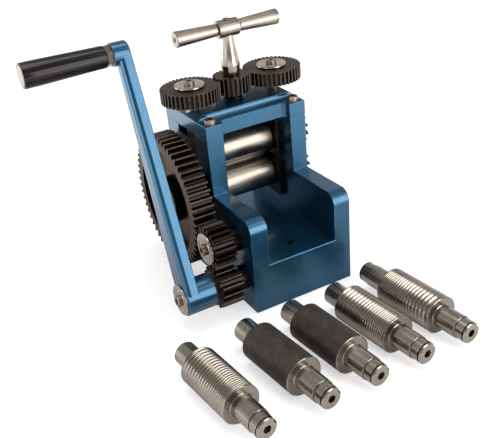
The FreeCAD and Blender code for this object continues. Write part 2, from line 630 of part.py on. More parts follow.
def drive_shaft():
    end = -HALF_WIDTH + DRIVE_SHAFT_BEARING - FACE_CLEARANCE
    body = rod_x(ARM_OUTER, end, CRANK_Y, CRANK_Z, DRIVE_SHAFT_RADIUS)
    body = body.cut(keyway(DRIVE_OUTER, DRIVE_INNER, CRANK_Y, CRANK_Z, DRIVE_SHAFT_RADIUS))
    hole_end = ARM_OUTER + END_SCREW_DEPTH
    return body.cut(rod_x(ARM_OUTER - OVERCUT, hole_end, CRANK_Y, CRANK_Z, END_SCREW_RADIUS))


def crank_bush():
    return tube_x(-HALF_WIDTH, -HALF_WIDTH + DRIVE_SHAFT_BEARING, CRANK_Y, CRANK_Z,
                  DRIVE_SHAFT_RADIUS + BUSH_WALL, DRIVE_SHAFT_RADIUS + RUNNING_CLEARANCE)


# ---- coupling gears on the keyed ends
def coupling_gear(axis_height, phase):
    """Deep-toothed pinion that keeps its mesh while the upper roll rises and falls."""
    body = gear_x(COUPLING_TEETH, COUPLING_MODULE, phase, JOURNAL_END, COUPLING_OUTER, ROLL_Y, axis_height,
                  COUPLING_ADDENDUM, COUPLING_DEDENDUM)
    body = body.cut(rod_x(SEAT_END, COUPLING_OUTER + OVERCUT, ROLL_Y, axis_height, COUPLING_RECESS_RADIUS))
    body = body.cut(rod_x(JOURNAL_END - OVERCUT, COUPLING_OUTER, ROLL_Y, axis_height, SEAT_RADIUS))
    return body.cut(key(JOURNAL_END - OVERCUT, SEAT_END + OVERCUT, ROLL_Y, axis_height, SEAT_RADIUS))


def coupling_key(axis_height):
    return key(JOURNAL_END + KEY_END_MARGIN, SEAT_END, ROLL_Y, axis_height, SEAT_RADIUS)


def coupling_screw(axis_height):
    """Flanged screw that clamps the gear against the journal's shoulder."""
    screw = retaining_screw(SEAT_END + COUPLING_FLANGE_THICKNESS, ROLL_Y, axis_height, False)
    return screw.fuse(rod_x(SEAT_END, SEAT_END + COUPLING_FLANGE_THICKNESS, ROLL_Y, axis_height,
                            COUPLING_FLANGE_RADIUS))


# ---- crank
def arm_point(along, across):
    """Point on the arm's outer plane, along it from the crank axis and across it towards the rear."""
    lean = math.radians(ARM_LEAN_ANGLE)
    return Vector(ARM_OUTER, CRANK_Y + along * math.sin(lean) + across * math.cos(lean),
                  CRANK_Z + along * math.cos(lean) - across * math.sin(lean))


def arm_slab():
    """Flat bar that narrows from the crank boss to the grip boss, with rounded outer edges."""
    corners = [arm_point(0, ARM_ROOT_REAR), arm_point(ARM_LENGTH, ARM_TIP_REAR),
               arm_point(ARM_LENGTH, -ARM_TIP_FRONT), arm_point(0, -ARM_ROOT_FRONT)]
    slab = Part.Face(Part.makePolygon(corners + [corners[0]])).extrude(Vector(ARM_THICKNESS, 0, 0))
    long_edges = [e for e in slab.Edges if e.BoundBox.XMax < ARM_INNER - ARM_THICKNESS / 2
                  and e.Length > ARM_LENGTH - 1]
    return slab.makeFillet(ARM_EDGE_RADIUS, long_edges)


def crank_arm():
    arm = arm_slab()
    arm = arm.fuse(rod_x(ARM_OUTER, CRANK_BOSS_INNER, CRANK_Y, CRANK_Z, CRANK_BOSS_RADIUS))
    arm = arm.fuse(rod_x(TOP_BOSS_OUTER, ARM_INNER, GRIP_Y, GRIP_Z, TOP_BOSS_RADIUS))
    arm = arm.cut(rod_x(ARM_OUTER - OVERCUT, CRANK_BOSS_INNER + OVERCUT, CRANK_Y, CRANK_Z,
                        DRIVE_SHAFT_RADIUS))
    return arm.cut(rod_x(TOP_BOSS_OUTER - OVERCUT, ARM_INNER + OVERCUT, GRIP_Y, GRIP_Z, GRIP_BOLT_RADIUS))


def grip():
    """Tapered plastic grip, bored for its bolt and recessed for its end cap."""
    profile = [(GRIP_OUTER_END, GRIP_OUTER_RADIUS), (GRIP_INNER_END, GRIP_INNER_RADIUS)]
    body = turned_x(profile, GRIP_Y, GRIP_Z)
    body = body.cut(rod_x(GRIP_HEAD_SEAT, GRIP_INNER_END + OVERCUT, GRIP_Y, GRIP_Z,
                          GRIP_BOLT_RADIUS + RUNNING_CLEARANCE))
    body = body.cut(rod_x(GRIP_OUTER_END, GRIP_HEAD_SEAT, GRIP_Y, GRIP_Z,
                          GRIP_BOLT_HEAD_RADIUS + FACE_CLEARANCE))
    return body.cut(rod_x(GRIP_OUTER_END - OVERCUT, GRIP_CAP_INNER, GRIP_Y, GRIP_Z, GRIP_CAP_RADIUS))


def grip_cap():
    """Steel disc that closes the grip over its bolt head."""
    return rod_x(GRIP_OUTER_END, GRIP_CAP_INNER, GRIP_Y, GRIP_Z, GRIP_CAP_RADIUS)


def grip_bolt():
    head_inner = GRIP_HEAD_SEAT - RUNNING_CLEARANCE
    shank = rod_x(head_inner, ARM_INNER, GRIP_Y, GRIP_Z, GRIP_BOLT_RADIUS)
    head_outer = head_inner - GRIP_BOLT_HEAD_HEIGHT
    return shank.fuse(rod_x(head_outer, head_inner, GRIP_Y, GRIP_Z, GRIP_BOLT_HEAD_RADIUS))


def grip_nut():
    """Hexagonal lock nut between the grip and the arm."""
    reach = GRIP_NUT_FLATS / math.sqrt(3)
    corners = []
    for index in range(7):
        angle = math.radians(60 * index + 30)
        corners.append(Vector(GRIP_NUT_OUTER, GRIP_Y + reach * math.cos(angle),
                              GRIP_Z + reach * math.sin(angle)))
    body = Part.Face(Part.makePolygon(corners)).extrude(Vector(GRIP_NUT_LENGTH, 0, 0))
    return body.cut(rod_x(GRIP_NUT_OUTER - OVERCUT, TOP_BOSS_OUTER + OVERCUT, GRIP_Y, GRIP_Z,
                          GRIP_BOLT_RADIUS))


# ---- adjusting screws and their gears
def adjust_phase(side):
    direction = 0.0 if side > 0 else 180.0
    return meshed_phase(0.0, CENTRE_TEETH, direction, ADJUST_TEETH)


def adjust_gear(side):
    x = side * ADJUST_CENTRES
    body = gear_z(ADJUST_TEETH, ADJUST_MODULE, adjust_phase(side), ADJUST_GEAR_BOTTOM, ADJUST_GEAR_TOP,
                  x, ROLL_Y, ADJUST_ADDENDUM, ADJUST_DEDENDUM)
    return body.cut(rod_z(ADJUST_GEAR_BOTTOM - OVERCUT, ADJUST_GEAR_TOP + OVERCUT, x, ROLL_Y,
                          ADJUST_SEAT_RADIUS))


def adjust_screw(side):
    shank = ADJUST_SCREW_RADIUS - RUNNING_CLEARANCE
    profile = [(shank, UPPER_BLOCK_TOP), (shank, ADJUST_GEAR_BOTTOM),
               (ADJUST_SEAT_RADIUS, ADJUST_GEAR_BOTTOM), (ADJUST_SEAT_RADIUS, ADJUST_GEAR_TOP)]
    body = turned_z(profile, side * ADJUST_CENTRES, ROLL_Y)
    return body.cut(rod_z(ADJUST_GEAR_TOP - END_SCREW_DEPTH, ADJUST_GEAR_TOP + OVERCUT,
                          side * ADJUST_CENTRES, ROLL_Y, END_SCREW_RADIUS))


def adjust_washer(side):
    return tube_z(ADJUST_GEAR_TOP, ADJUST_GEAR_TOP + WASHER_THICKNESS, side * ADJUST_CENTRES, ROLL_Y,
                  ADJUST_WASHER_RADIUS, SCREW_SHANK_RADIUS)


def adjust_lock_screw(side):
    screw = cap_screw(SCREW_LENGTH, SCREW_SHANK_RADIUS - RUNNING_CLEARANCE, SCREW_HEAD_RADIUS,
                      SCREW_HEAD_HEIGHT)
    screw.translate(Vector(side * ADJUST_CENTRES, ROLL_Y, ADJUST_GEAR_TOP + WASHER_THICKNESS))
    return screw


# ---- handle
def handle_spindle():
    """Bottle-shaped stem above the centre gear with a plain shank down through the cap."""
    waist = CENTRE_GEAR_TOP + SPINDLE_WAIST_RISE
    profile = [(SPINDLE_SHANK_RADIUS, SPINDLE_BOTTOM), (SPINDLE_SHANK_RADIUS, CENTRE_GEAR_TOP),
               (SPINDLE_FOOT_RADIUS, CENTRE_GEAR_TOP), (SPINDLE_WAIST_RADIUS, waist),
               (SPINDLE_NECK_RADIUS, HUB_HEIGHT - HUB_RADIUS), (SPINDLE_NECK_RADIUS, NECK_TOP),
               (SPINDLE_PIN_RADIUS, NECK_TOP), (SPINDLE_PIN_RADIUS, HUB_HEIGHT + HUB_RADIUS)]
    return turned_z(profile, 0, ROLL_Y)


def spindle_bush():
    return tube_z(SEAM_HEIGHT, PAD_TOP, 0, ROLL_Y, SPINDLE_SHANK_RADIUS + SPINDLE_BUSH_WALL,
                  SPINDLE_SHANK_RADIUS + RUNNING_CLEARANCE)


def spindle_ring():
    return tube_z(SPINDLE_RING_TOP - SPINDLE_RING_THICKNESS, SPINDLE_RING_TOP, 0, ROLL_Y,
                  SPINDLE_RING_RADIUS, SPINDLE_SHANK_RADIUS)


def centre_pinion():
    body = gear_z(CENTRE_TEETH, ADJUST_MODULE, 0.0, CENTRE_GEAR_BOTTOM, CENTRE_GEAR_TOP, 0, ROLL_Y,
                  ADJUST_ADDENDUM, ADJUST_DEDENDUM)
    body = body.fuse(rod_z(PAD_TOP + 2 * RUNNING_CLEARANCE, CENTRE_GEAR_BOTTOM, 0, ROLL_Y, CENTRE_HUB_RADIUS))
    return body.cut(rod_z(PAD_TOP, CENTRE_GEAR_TOP + OVERCUT, 0, ROLL_Y, SPINDLE_SHANK_RADIUS))


def handle_hub():
    half = HUB_LENGTH / 2
    body = rod_x(-half, half, ROLL_Y, HUB_HEIGHT, HUB_RADIUS)
    body = body.fuse(rod_x(-half - HANDLE_STUD_LENGTH, half + HANDLE_STUD_LENGTH, ROLL_Y, HUB_HEIGHT,
                           HANDLE_STUD_RADIUS))
    body = body.cut(rod_z(HUB_HEIGHT - HUB_RADIUS - OVERCUT, NECK_TOP, 0, ROLL_Y, SPINDLE_NECK_RADIUS))
    return body.cut(rod_z(NECK_TOP - OVERCUT, HUB_HEIGHT + HUB_RADIUS + OVERCUT, 0, ROLL_Y,
                          SPINDLE_PIN_RADIUS))


def handle_bar(side):
    """Turned half of the cross handle, thicker towards its end and screwed on the hub's stud."""
    start = HUB_LENGTH / 2
    neck = start + HANDLE_NECK_LENGTH
    end = start + HANDLE_BAR_LENGTH
    profile = [(start, HANDLE_NECK_RADIUS), (neck, HANDLE_NECK_RADIUS), (neck, HANDLE_BAR_ROOT_RADIUS),
               (end - HANDLE_END_CHAMFER, HANDLE_BAR_END_RADIUS),
               (end, HANDLE_BAR_END_RADIUS - HANDLE_END_CHAMFER)]
    body = turned_x(profile, 0, 0)
    body = body.cut(rod_x(start - OVERCUT, start + HANDLE_STUD_LENGTH, 0, 0, HANDLE_STUD_RADIUS))
    if side < 0:
        body.rotate(Vector(0, 0, 0), AXIS_Z, 180)
    body.translate(Vector(0, ROLL_Y, HUB_HEIGHT))
    return body


# ---- spare rolls
def groove_row(order):
    """Start and width of each groove; order -1 narrows and +1 widens towards the keyed end."""
    widths = [GROOVE_WIDTH_MIN + GROOVE_WIDTH_STEP * index for index in range(GROOVE_COUNT)]
    if order < 0:
        widths.reverse()
    total = sum(widths) + GROOVE_LAND * (GROOVE_COUNT - 1)
    start = -total / 2
    row = []
    for width in widths:
        row.append((start, width))
        start += width + GROOVE_LAND
    return row


def spare_place(place):
    """Place of a spare roll along the row; the first lies just outside the crank arm's path."""
    if place > 1:
        return SPARE_ROW_END - SPARE_PITCH * (SPARE_COUNT - place)
    turn = math.radians(SPARE_TURN_ANGLE)
    reach = ROLL_RADIUS * math.cos(turn) + ROLL_END * math.sin(turn)
    return ARM_OUTER - SPARE_ARM_CLEARANCE - reach


def spare_roll(place, grooves, rear_seat_length=0.0):
    """Roll lying with its keyed end to the front and its keyway turned towards +X."""
    body = short_roll(0, 0, grooves, rear_seat_length)
    body.rotate(Vector(0, 0, 0), AXIS_X, SPARE_KEY_ANGLE)
    body.rotate(Vector(0, 0, 0), AXIS_Z, -90 + SPARE_TURN_ANGLE)
    body.translate(Vector(spare_place(place), FRONT_Y - SPARE_ROW_SETBACK, ROLL_RADIUS))
    return body


def save_frame():
    save("base_casting", [base_casting()])
    save("top_cap", [top_cap()])
    save("cap_bolts", cap_bolts())
    save("idler_stud", [idler_stud()])
    washer_outer = IDLER_WASHER_INNER - WASHER_THICKNESS
    save("idler_washer", [washer_x(washer_outer, IDLER_Y, IDLER_Z, IDLER_WASHER_RADIUS)])
    save("idler_screw", [retaining_screw(washer_outer, IDLER_Y, IDLER_Z, True)])
    save("crank_bush", [crank_bush()])
    save("spindle_bush", [spindle_bush()])


def save_blocks():
    for name, side in (("left", -1), ("right", 1)):
        lower = bearing_block(side, LOWER_AXIS_HEIGHT, WINDOW_SILL_HEIGHT, LOWER_BLOCK_TOP,
                              LOWER_BLOCK_TOP - SPRING_POCKET, LOWER_BLOCK_TOP + OVERCUT)
        upper = bearing_block(side, UPPER_AXIS_HEIGHT, UPPER_BLOCK_BOTTOM, UPPER_BLOCK_TOP,
                              UPPER_BLOCK_BOTTOM - OVERCUT, UPPER_BLOCK_BOTTOM + SPRING_POCKET)
        save("lower_block_" + name, [lower])
        save("upper_block_" + name, [upper])
        save("lower_bush_" + name, [bearing_bush(side, LOWER_AXIS_HEIGHT)])
        save("upper_bush_" + name, [bearing_bush(side, UPPER_AXIS_HEIGHT)])
    save("lift_springs", lift_springs())


def save_rolls():
    save("lower_roll", [lower_roll()])
    save("upper_roll", [short_roll(ROLL_Y, UPPER_AXIS_HEIGHT)])
    for name, height, phase in (("lower", LOWER_AXIS_HEIGHT, LOWER_COUPLING_PHASE),
                                ("upper", UPPER_AXIS_HEIGHT, UPPER_COUPLING_PHASE)):
        save(name + "_coupling_gear", [coupling_gear(height, phase)])
        save(name + "_coupling_key", [coupling_key(height)])
        save(name + "_coupling_screw", [coupling_screw(height)])


def save_drive():
    save("big_gear", [big_gear()])
    save("big_gear_key", [big_gear_key()])
    washer_outer = DRIVE_OUTER - WASHER_THICKNESS
    save("big_gear_washer", [washer_x(washer_outer, ROLL_Y, LOWER_AXIS_HEIGHT, BIG_WASHER_RADIUS)])
    save("big_gear_screw", [retaining_screw(washer_outer, ROLL_Y, LOWER_AXIS_HEIGHT, True)])
    save("idler_gear", [idler_gear()])
    save("idler_bush", [idler_bush()])
    save("drive_pinion", [drive_pinion()])
    save("pinion_key", [pinion_key()])
    save("drive_shaft", [drive_shaft()])


def save_crank():
    save("crank_arm", [crank_arm()])
    save("crank_washer", [washer_x(ARM_OUTER - WASHER_THICKNESS, CRANK_Y, CRANK_Z, CRANK_WASHER_RADIUS)])
    save("crank_screw", [retaining_screw(ARM_OUTER - WASHER_THICKNESS, CRANK_Y, CRANK_Z, True)])
    save("grip", [grip()])
    save("grip_cap", [grip_cap()])
    save("grip_bolt", [grip_bolt()])
    save("grip_nut", [grip_nut()])


def save_adjusters():
    for name, side in (("left", -1), ("right", 1)):
        save("adjust_screw_" + name, [adjust_screw(side)])
        save("adjust_gear_" + name, [adjust_gear(side)])
        save("adjust_washer_" + name, [adjust_washer(side)])
        save("adjust_lock_screw_" + name, [adjust_lock_screw(side)])
        save("handle_bar_" + name, [handle_bar(side)])
    save("handle_spindle", [handle_spindle()])
    save("spindle_ring", [spindle_ring()])
    save("centre_pinion", [centre_pinion()])
    save("handle_hub", [handle_hub()])


def save_spares():
    save("spare_half_round_roll", [spare_roll(1, groove_row(-1))])
    save("spare_pattern_roll_a", [spare_roll(2, ())])
    save("spare_pattern_roll_b", [spare_roll(3, ())])
    save("spare_wire_roll_a", [spare_roll(4, groove_row(-1))])
    save("spare_wire_roll_b", [spare_roll(5, groove_row(1), SPARE_REAR_SEAT_LENGTH)])


def main():
    os.makedirs("parts", exist_ok=True)
    save_frame()
    save_blocks()
    save_rolls()
    save_drive()
    save_crank()
    save_adjusters()
    save_spares()


main()
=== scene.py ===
import json
import math

import bmesh
import bpy
from mathutils import Matrix, Vector

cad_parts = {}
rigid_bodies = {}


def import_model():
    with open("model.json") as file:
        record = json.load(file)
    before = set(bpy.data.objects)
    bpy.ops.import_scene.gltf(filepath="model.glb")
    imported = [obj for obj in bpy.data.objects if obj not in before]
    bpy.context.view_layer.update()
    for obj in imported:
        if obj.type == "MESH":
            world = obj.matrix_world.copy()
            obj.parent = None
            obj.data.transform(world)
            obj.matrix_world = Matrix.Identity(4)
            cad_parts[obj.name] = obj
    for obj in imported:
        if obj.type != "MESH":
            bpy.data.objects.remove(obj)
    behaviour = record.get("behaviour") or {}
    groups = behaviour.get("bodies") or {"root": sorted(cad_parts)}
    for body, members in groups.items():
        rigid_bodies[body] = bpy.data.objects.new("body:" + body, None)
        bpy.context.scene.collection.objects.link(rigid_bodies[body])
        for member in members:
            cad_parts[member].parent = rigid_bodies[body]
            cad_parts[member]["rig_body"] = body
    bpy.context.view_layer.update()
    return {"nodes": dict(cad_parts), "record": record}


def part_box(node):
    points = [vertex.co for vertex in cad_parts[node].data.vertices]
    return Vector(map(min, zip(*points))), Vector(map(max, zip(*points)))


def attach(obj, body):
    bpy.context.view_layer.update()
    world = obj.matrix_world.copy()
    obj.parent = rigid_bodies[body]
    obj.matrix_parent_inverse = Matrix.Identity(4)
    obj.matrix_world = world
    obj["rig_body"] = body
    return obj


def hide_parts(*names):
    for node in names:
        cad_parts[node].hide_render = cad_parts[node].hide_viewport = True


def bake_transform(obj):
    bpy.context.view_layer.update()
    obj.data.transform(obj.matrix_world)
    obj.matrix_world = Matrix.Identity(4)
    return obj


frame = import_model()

bl_info = {
    "name": "Jewellers Rolling Mill",
    "version": (1, 0, 0),
    "blender": (4, 5, 0),
    "location": "3D View > Sidebar > Rolling Mill",
    "description": "Dresses the hand-cranked rolling mill with its spare rolls and sets its stage",
    "category": "Object",
}

MM = 0.001
SAME_PLACE = 0.01 * MM
AXES = {"X": Vector((1, 0, 0)), "Y": Vector((0, 1, 0)), "Z": Vector((0, 0, 1))}


# ---- user settings
class MillSizes(bpy.types.PropertyGroup):
    enamel_edge: bpy.props.FloatProperty(
        name="Enamelled edge", description="Rounding of the painted casting's edges",
        default=1.4 * MM, unit="LENGTH")
    elbow_edge: bpy.props.FloatProperty(
        name="Elbow edge", description="Rounding of the crank's elbow on its inner side",
        default=3.2 * MM, unit="LENGTH")
    tray_fillet: bpy.props.FloatProperty(
        name="Tray fillet", description="Fillet between the tray's floor and its walls",
        default=0.7 * MM, unit="LENGTH")
    seam_edge: bpy.props.FloatProperty(
        name="Seam edge", description="Rounding of the edges that meet between casting and cap",
        default=0.45 * MM, unit="LENGTH")
    machined_edge: bpy.props.FloatProperty(
        name="Machined edge", description="Rounding of turned and milled edges",
        default=0.4 * MM, unit="LENGTH")
    tooth_edge: bpy.props.FloatProperty(
        name="Tooth edge", description="Rounding of the gear teeth's edges",
        default=0.3 * MM, unit="LENGTH")
    turning_steps: bpy.props.IntProperty(
        name="Turning steps", description="Facets round a turned piece", default=96)
    spring_coils: bpy.props.IntProperty(
        name="Spring coils", description="Coils of each lift spring", default=8)


class MillColours(bpy.types.PropertyGroup):
    enamel: bpy.props.FloatVectorProperty(
        name="Enamel", description="Metallic blue of the castings and the crank", subtype="COLOR",
        default=(0.011, 0.094, 0.182), min=0, max=1)
    blackened: bpy.props.FloatVectorProperty(
        name="Blackened steel", description="Oil-blackened gears and blocks", subtype="COLOR",
        default=(0.020, 0.016, 0.0135), min=0, max=1)
    ground: bpy.props.FloatVectorProperty(
        name="Ground steel", description="Faces and journals of the rolls", subtype="COLOR",
        default=(0.40, 0.35, 0.30), min=0, max=1)
    turned: bpy.props.FloatVectorProperty(
        name="Turned steel", description="Handle and spindle", subtype="COLOR",
        default=(0.40, 0.345, 0.295), min=0, max=1)
    polished: bpy.props.FloatVectorProperty(
        name="Polished steel", description="Washers", subtype="COLOR",
        default=(0.52, 0.455, 0.385), min=0, max=1)
    screw: bpy.props.FloatVectorProperty(
        name="Screw steel", description="Bolts, screws and the grip's nut", subtype="COLOR",
        default=(0.34, 0.255, 0.20), min=0, max=1)
    pattern: bpy.props.FloatVectorProperty(
        name="Pattern barrel", description="Etched barrels of the pattern rolls", subtype="COLOR",
        default=(0.056, 0.045, 0.038), min=0, max=1)
    bronze: bpy.props.FloatVectorProperty(
        name="Bronze", description="Bushes", subtype="COLOR",
        default=(0.42, 0.24, 0.09), min=0, max=1)
    plastic: bpy.props.FloatVectorProperty(
        name="Grip plastic", description="Crank grip", subtype="COLOR",
        default=(0.011, 0.008, 0.0065), min=0, max=1)


def sizes():
    return bpy.context.scene.mill_sizes


def colours():
    return bpy.context.scene.mill_colours


# ---- node helpers
EDGE_MASK_STARTS = 0.85
EDGE_MASK_IS_FULL = 1.1


def add_node(tree, kind, values=None, **settings):
    item = tree.nodes.new(kind)
    for key, value in settings.items():
        setattr(item, key, value)
    for key, value in (values or {}).items():
        if isinstance(value, bpy.types.NodeSocket):
            tree.links.new(value, item.inputs[key])
        else:
            item.inputs[key].default_value = value
    return item


def new_group(name, inputs, outputs):
    """Empty shader group with float inputs and outputs, its input node and its output node."""
    tree = bpy.data.node_groups.new(name, "ShaderNodeTree")
    for label, default in inputs:
        socket = tree.interface.new_socket(label, in_out="INPUT", socket_type="NodeSocketFloat")
        socket.default_value = default
    for label in outputs:
        tree.interface.new_socket(label, in_out="OUTPUT", socket_type="NodeSocketFloat")
    return tree, tree.nodes.new("NodeGroupInput"), tree.nodes.new("NodeGroupOutput")


def math_node(tree, operation, first, second):
    return add_node(tree, "ShaderNodeMath", {0: first, 1: second}, operation=operation).outputs[0]


def noise(tree, scale, detail):
    """Noise in the piece's own place."""
    place = add_node(tree, "ShaderNodeTexCoord").outputs["Object"]
    return add_node(tree, "ShaderNodeTexNoise",
                    {"Vector": place, "Scale": scale, "Detail": detail}).outputs["Fac"]


def edge_mask_group():
    """Mask of the rounded edges, broken up by noise, for worn edges and painted edge highlights."""
    tree, given, out = new_group(
        "Mill edge wear", (("Scale", 300.0), ("Bare share", 0.5)), ("Mask",))
    patchy = noise(tree, given.outputs["Scale"], 3.0)
    shifted = math_node(tree, "ADD", patchy, given.outputs["Bare share"])
    hard = add_node(tree, "ShaderNodeMapRange",
                    {"Value": shifted, "From Min": EDGE_MASK_STARTS, "From Max": EDGE_MASK_IS_FULL})
    edge = add_node(tree, "ShaderNodeAttribute", attribute_name="edge")
    mask = math_node(tree, "MULTIPLY", hard.outputs[0], edge.outputs["Fac"])
    tree.links.new(mask, out.inputs["Mask"])


def grain_group():
    """Fine and coarse noise in the piece's own place."""
    tree, given, out = new_group(
        "Mill grain", (("Fine scale", 900.0), ("Coarse scale", 40.0)), ("Fine", "Coarse"))
    for socket, scale in (("Fine", "Fine scale"), ("Coarse", "Coarse scale")):
        tree.links.new(noise(tree, given.outputs[scale], 4.0), out.inputs[socket])


def turning_group():
    """Rings left by the lathe, read from the distance along the turned profile."""
    tree, given, out = new_group(
        "Mill turning marks", (("Rings per metre", 3000.0),), ("Rings",))
    along = add_node(tree, "ShaderNodeAttribute", attribute_name="turned")
    spread = math_node(tree, "MULTIPLY", along.outputs["Fac"], given.outputs["Rings per metre"])
    rings = add_node(tree, "ShaderNodeTexNoise", {"W": spread, "Scale": 1.0, "Detail": 3.0},
                     noise_dimensions="1D")
    tree.links.new(rings.outputs["Fac"], out.inputs["Rings"])


def use_group(tree, name, values):
    item = tree.nodes.new("ShaderNodeGroup")
    item.node_tree = bpy.data.node_groups[name]
    for key, value in values.items():
        item.inputs[key].default_value = value
    return item


def mixed(tree, factor, first, second):
    """Colour that goes from first to second with a mask; each is a colour or a socket."""
    mix = add_node(tree, "ShaderNodeMix", data_type="RGBA")
    for socket, value in ((mix.inputs[0], factor), (mix.inputs[6], first), (mix.inputs[7], second)):
        if isinstance(value, bpy.types.NodeSocket):
            tree.links.new(value, socket)
        else:
            socket.default_value = value
    return mix.outputs[2]


def ranged(tree, value, low, high, from_low=0.3, from_high=0.7):
    """Value moved from one range to another; the first range is the middle of a noise."""
    part = add_node(tree, "ShaderNodeMapRange",
                    {"Value": value, "From Min": from_low, "From Max": from_high,
                     "To Min": low, "To Max": high})
    return part.outputs[0]


def shade(colour, factor):
    return tuple(channel * factor for channel in colour) + (1.0,)


def new_material(name):
    material = bpy.data.materials.new(name)
    material.use_nodes = True
    return material, material.node_tree, material.node_tree.nodes["Principled BSDF"]


def raised(tree, surface, height, strength, distance):
    """Bump from a height, on the surface's normal."""
    bump = add_node(tree, "ShaderNodeBump",
                    {"Height": height, "Strength": strength, "Distance": distance})
    tree.links.new(bump.outputs[0], surface.inputs["Normal"])


# ---- finishes
OILED_SHINE = (0.84, 0.75, 0.69, 1.0)
STAINED = (0.80, 1.12)
ROUGHNESS_SPREAD = (0.82, 1.2)
RING_SHARE = 0.4
RING_SHADE = 0.5
FLAKE_GAIN = 1.7


def metal(name, colour, roughness, metallic=1.0, rings=0.0, ring_bump=0.0, grain_bump=0.15,
          fine=900.0, edge_wear_and_highlight_gain=1.4, bare=0.5):
    """Machined metal: turning rings, fine grain, stained patches and brighter worn edges, which a
    high gain turns into painted highlights.
    """
    material, tree, surface = new_material(name)
    surface.inputs["Metallic"].default_value = metallic
    if metallic < 1.0:
        surface.inputs["Specular Tint"].default_value = OILED_SHINE
    grain = use_group(tree, "Mill grain", {"Fine scale": fine, "Coarse scale": 35.0})
    stained = mixed(tree, ranged(tree, grain.outputs["Coarse"], 0.0, 1.0),
                    shade(colour, STAINED[0]), shade(colour, STAINED[1]))
    edge_mask = use_group(tree, "Mill edge wear", {"Scale": 500.0, "Bare share": bare})
    edge_toned = mixed(tree, edge_mask.outputs["Mask"], stained, shade(colour, edge_wear_and_highlight_gain))
    if rings:
        marks = use_group(tree, "Mill turning marks", {"Rings per metre": rings})
        edge_toned = mixed(tree, ranged(tree, marks.outputs["Rings"], 0.0, RING_SHARE),
                     edge_toned, shade(colour, RING_SHADE))
        raised(tree, surface, marks.outputs["Rings"], ring_bump, 0.4 * MM)
    else:
        raised(tree, surface, grain.outputs["Fine"], grain_bump, 0.3 * MM)
    tree.links.new(edge_toned, surface.inputs["Base Color"])
    rough = ranged(tree, grain.outputs["Coarse"],
                   roughness * ROUGHNESS_SPREAD[0], roughness * ROUGHNESS_SPREAD[1])
    tree.links.new(rough, surface.inputs["Roughness"])
    return material


def enamel(name, colour):
    """Metallic blue enamel over cast iron, with fine flakes, orange peel and thin edges."""
    material, tree, surface = new_material(name)
    surface.inputs["Metallic"].default_value = 0.88
    surface.inputs["Coat Weight"].default_value = 0.65
    surface.inputs["Coat IOR"].default_value = 1.6
    surface.inputs["Coat Roughness"].default_value = 0.12
    grain = use_group(tree, "Mill grain", {"Fine scale": 420.0, "Coarse scale": 22.0})
    flakes = use_group(tree, "Mill grain", {"Fine scale": 3500.0, "Coarse scale": 120.0})
    cloudy = mixed(tree, ranged(tree, grain.outputs["Coarse"], 0.0, 1.0),
                   shade(colour, 0.9), shade(colour, 1.1))
    flaked = mixed(tree, ranged(tree, flakes.outputs["Fine"], 0.0, 0.35, 0.55, 0.75),
                   cloudy, shade(colour, FLAKE_GAIN))
    edge_mask = use_group(tree, "Mill edge wear", {"Scale": 160.0, "Bare share": 0.46})
    edge_toned = mixed(tree, edge_mask.outputs["Mask"], flaked, shade(colour, FLAKE_GAIN))
    tree.links.new(edge_toned, surface.inputs["Base Color"])
    rough = ranged(tree, flakes.outputs["Coarse"], 0.30, 0.38)
    tree.links.new(rough, surface.inputs["Roughness"])
    raised(tree, surface, grain.outputs["Fine"], 0.10, 0.4 * MM)
    return material


def etched_pattern(name, colour):
    """Matt dark barrel with a fine irregular relief."""
    material, tree, surface = new_material(name)
    surface.inputs["Metallic"].default_value = 0.6
    grain = use_group(tree, "Mill grain", {"Fine scale": 700.0, "Coarse scale": 90.0})
    height = math_node(tree, "ADD", grain.outputs["Fine"], grain.outputs["Coarse"])
    tone = mixed(tree, ranged(tree, grain.outputs["Coarse"], 0.0, 1.0),
                 shade(colour, 0.75), shade(colour, 1.5))
    speck = mixed(tree, ranged(tree, grain.outputs["Fine"], 0.0, 0.5, 0.55, 0.75),
                  tone, shade(colour, 2.4))
    tree.links.new(speck, surface.inputs["Base Color"])
    tree.links.new(ranged(tree, grain.outputs["Fine"], 0.5, 0.65), surface.inputs["Roughness"])
    raised(tree, surface, height, 0.5, 0.6 * MM)
    return material


def plastic(name, colour):
    """Smooth dark moulding with a soft shine."""
    material, tree, surface = new_material(name)
    surface.inputs["Specular IOR Level"].default_value = 0.28
    grain = use_group(tree, "Mill grain", {"Fine scale": 1400.0, "Coarse scale": 60.0})
    tone = mixed(tree, grain.outputs["Coarse"], shade(colour, 0.8), shade(colour, 1.6))
    tree.links.new(tone, surface.inputs["Base Color"])
    tree.links.new(ranged(tree, grain.outputs["Coarse"], 0.12, 0.17), surface.inputs["Roughness"])
    raised(tree, surface, grain.outputs["Fine"], 0.06, 0.3 * MM)
    return material


METALS = {
    # Blackened steel's edge gain of 9 paints bright highlights along the rounded tooth edges,
    # besides their bare worn metal.
    "blackened_steel": {"tint": "blackened", "roughness": 0.30, "metallic": 0.85,
                        "grain_bump": 0.12, "fine": 1200.0, "edge_wear_and_highlight_gain": 9.0, "bare": 0.66},
    "ground_steel": {"tint": "ground", "roughness": 0.21, "rings": 2600.0, "ring_bump": 0.03},
    "roll_steel": {"tint": "ground", "share": 0.9, "roughness": 0.29, "rings": 2600.0,
                   "ring_bump": 0.012},
    "turned_steel": {"tint": "turned", "roughness": 0.29, "rings": 2600.0, "ring_bump": 0.05},
    "spindle_steel": {"tint": "turned", "roughness": 0.17, "rings": 2600.0, "ring_bump": 0.01},
    "nut_steel": {"tint": "screw", "share": 0.24, "roughness": 0.24},
    "polished_steel": {"tint": "polished", "roughness": 0.20, "rings": 1800.0, "ring_bump": 0.08},
    "screw_steel": {"tint": "screw", "roughness": 0.34},
    "bronze": {"tint": "bronze", "roughness": 0.3, "rings": 3000.0, "ring_bump": 0.1},
}
OTHERS = {
    "blue_enamel": (enamel, "enamel"),
    "etched_barrel": (etched_pattern, "pattern"),
    "black_plastic": (plastic, "plastic"),
}


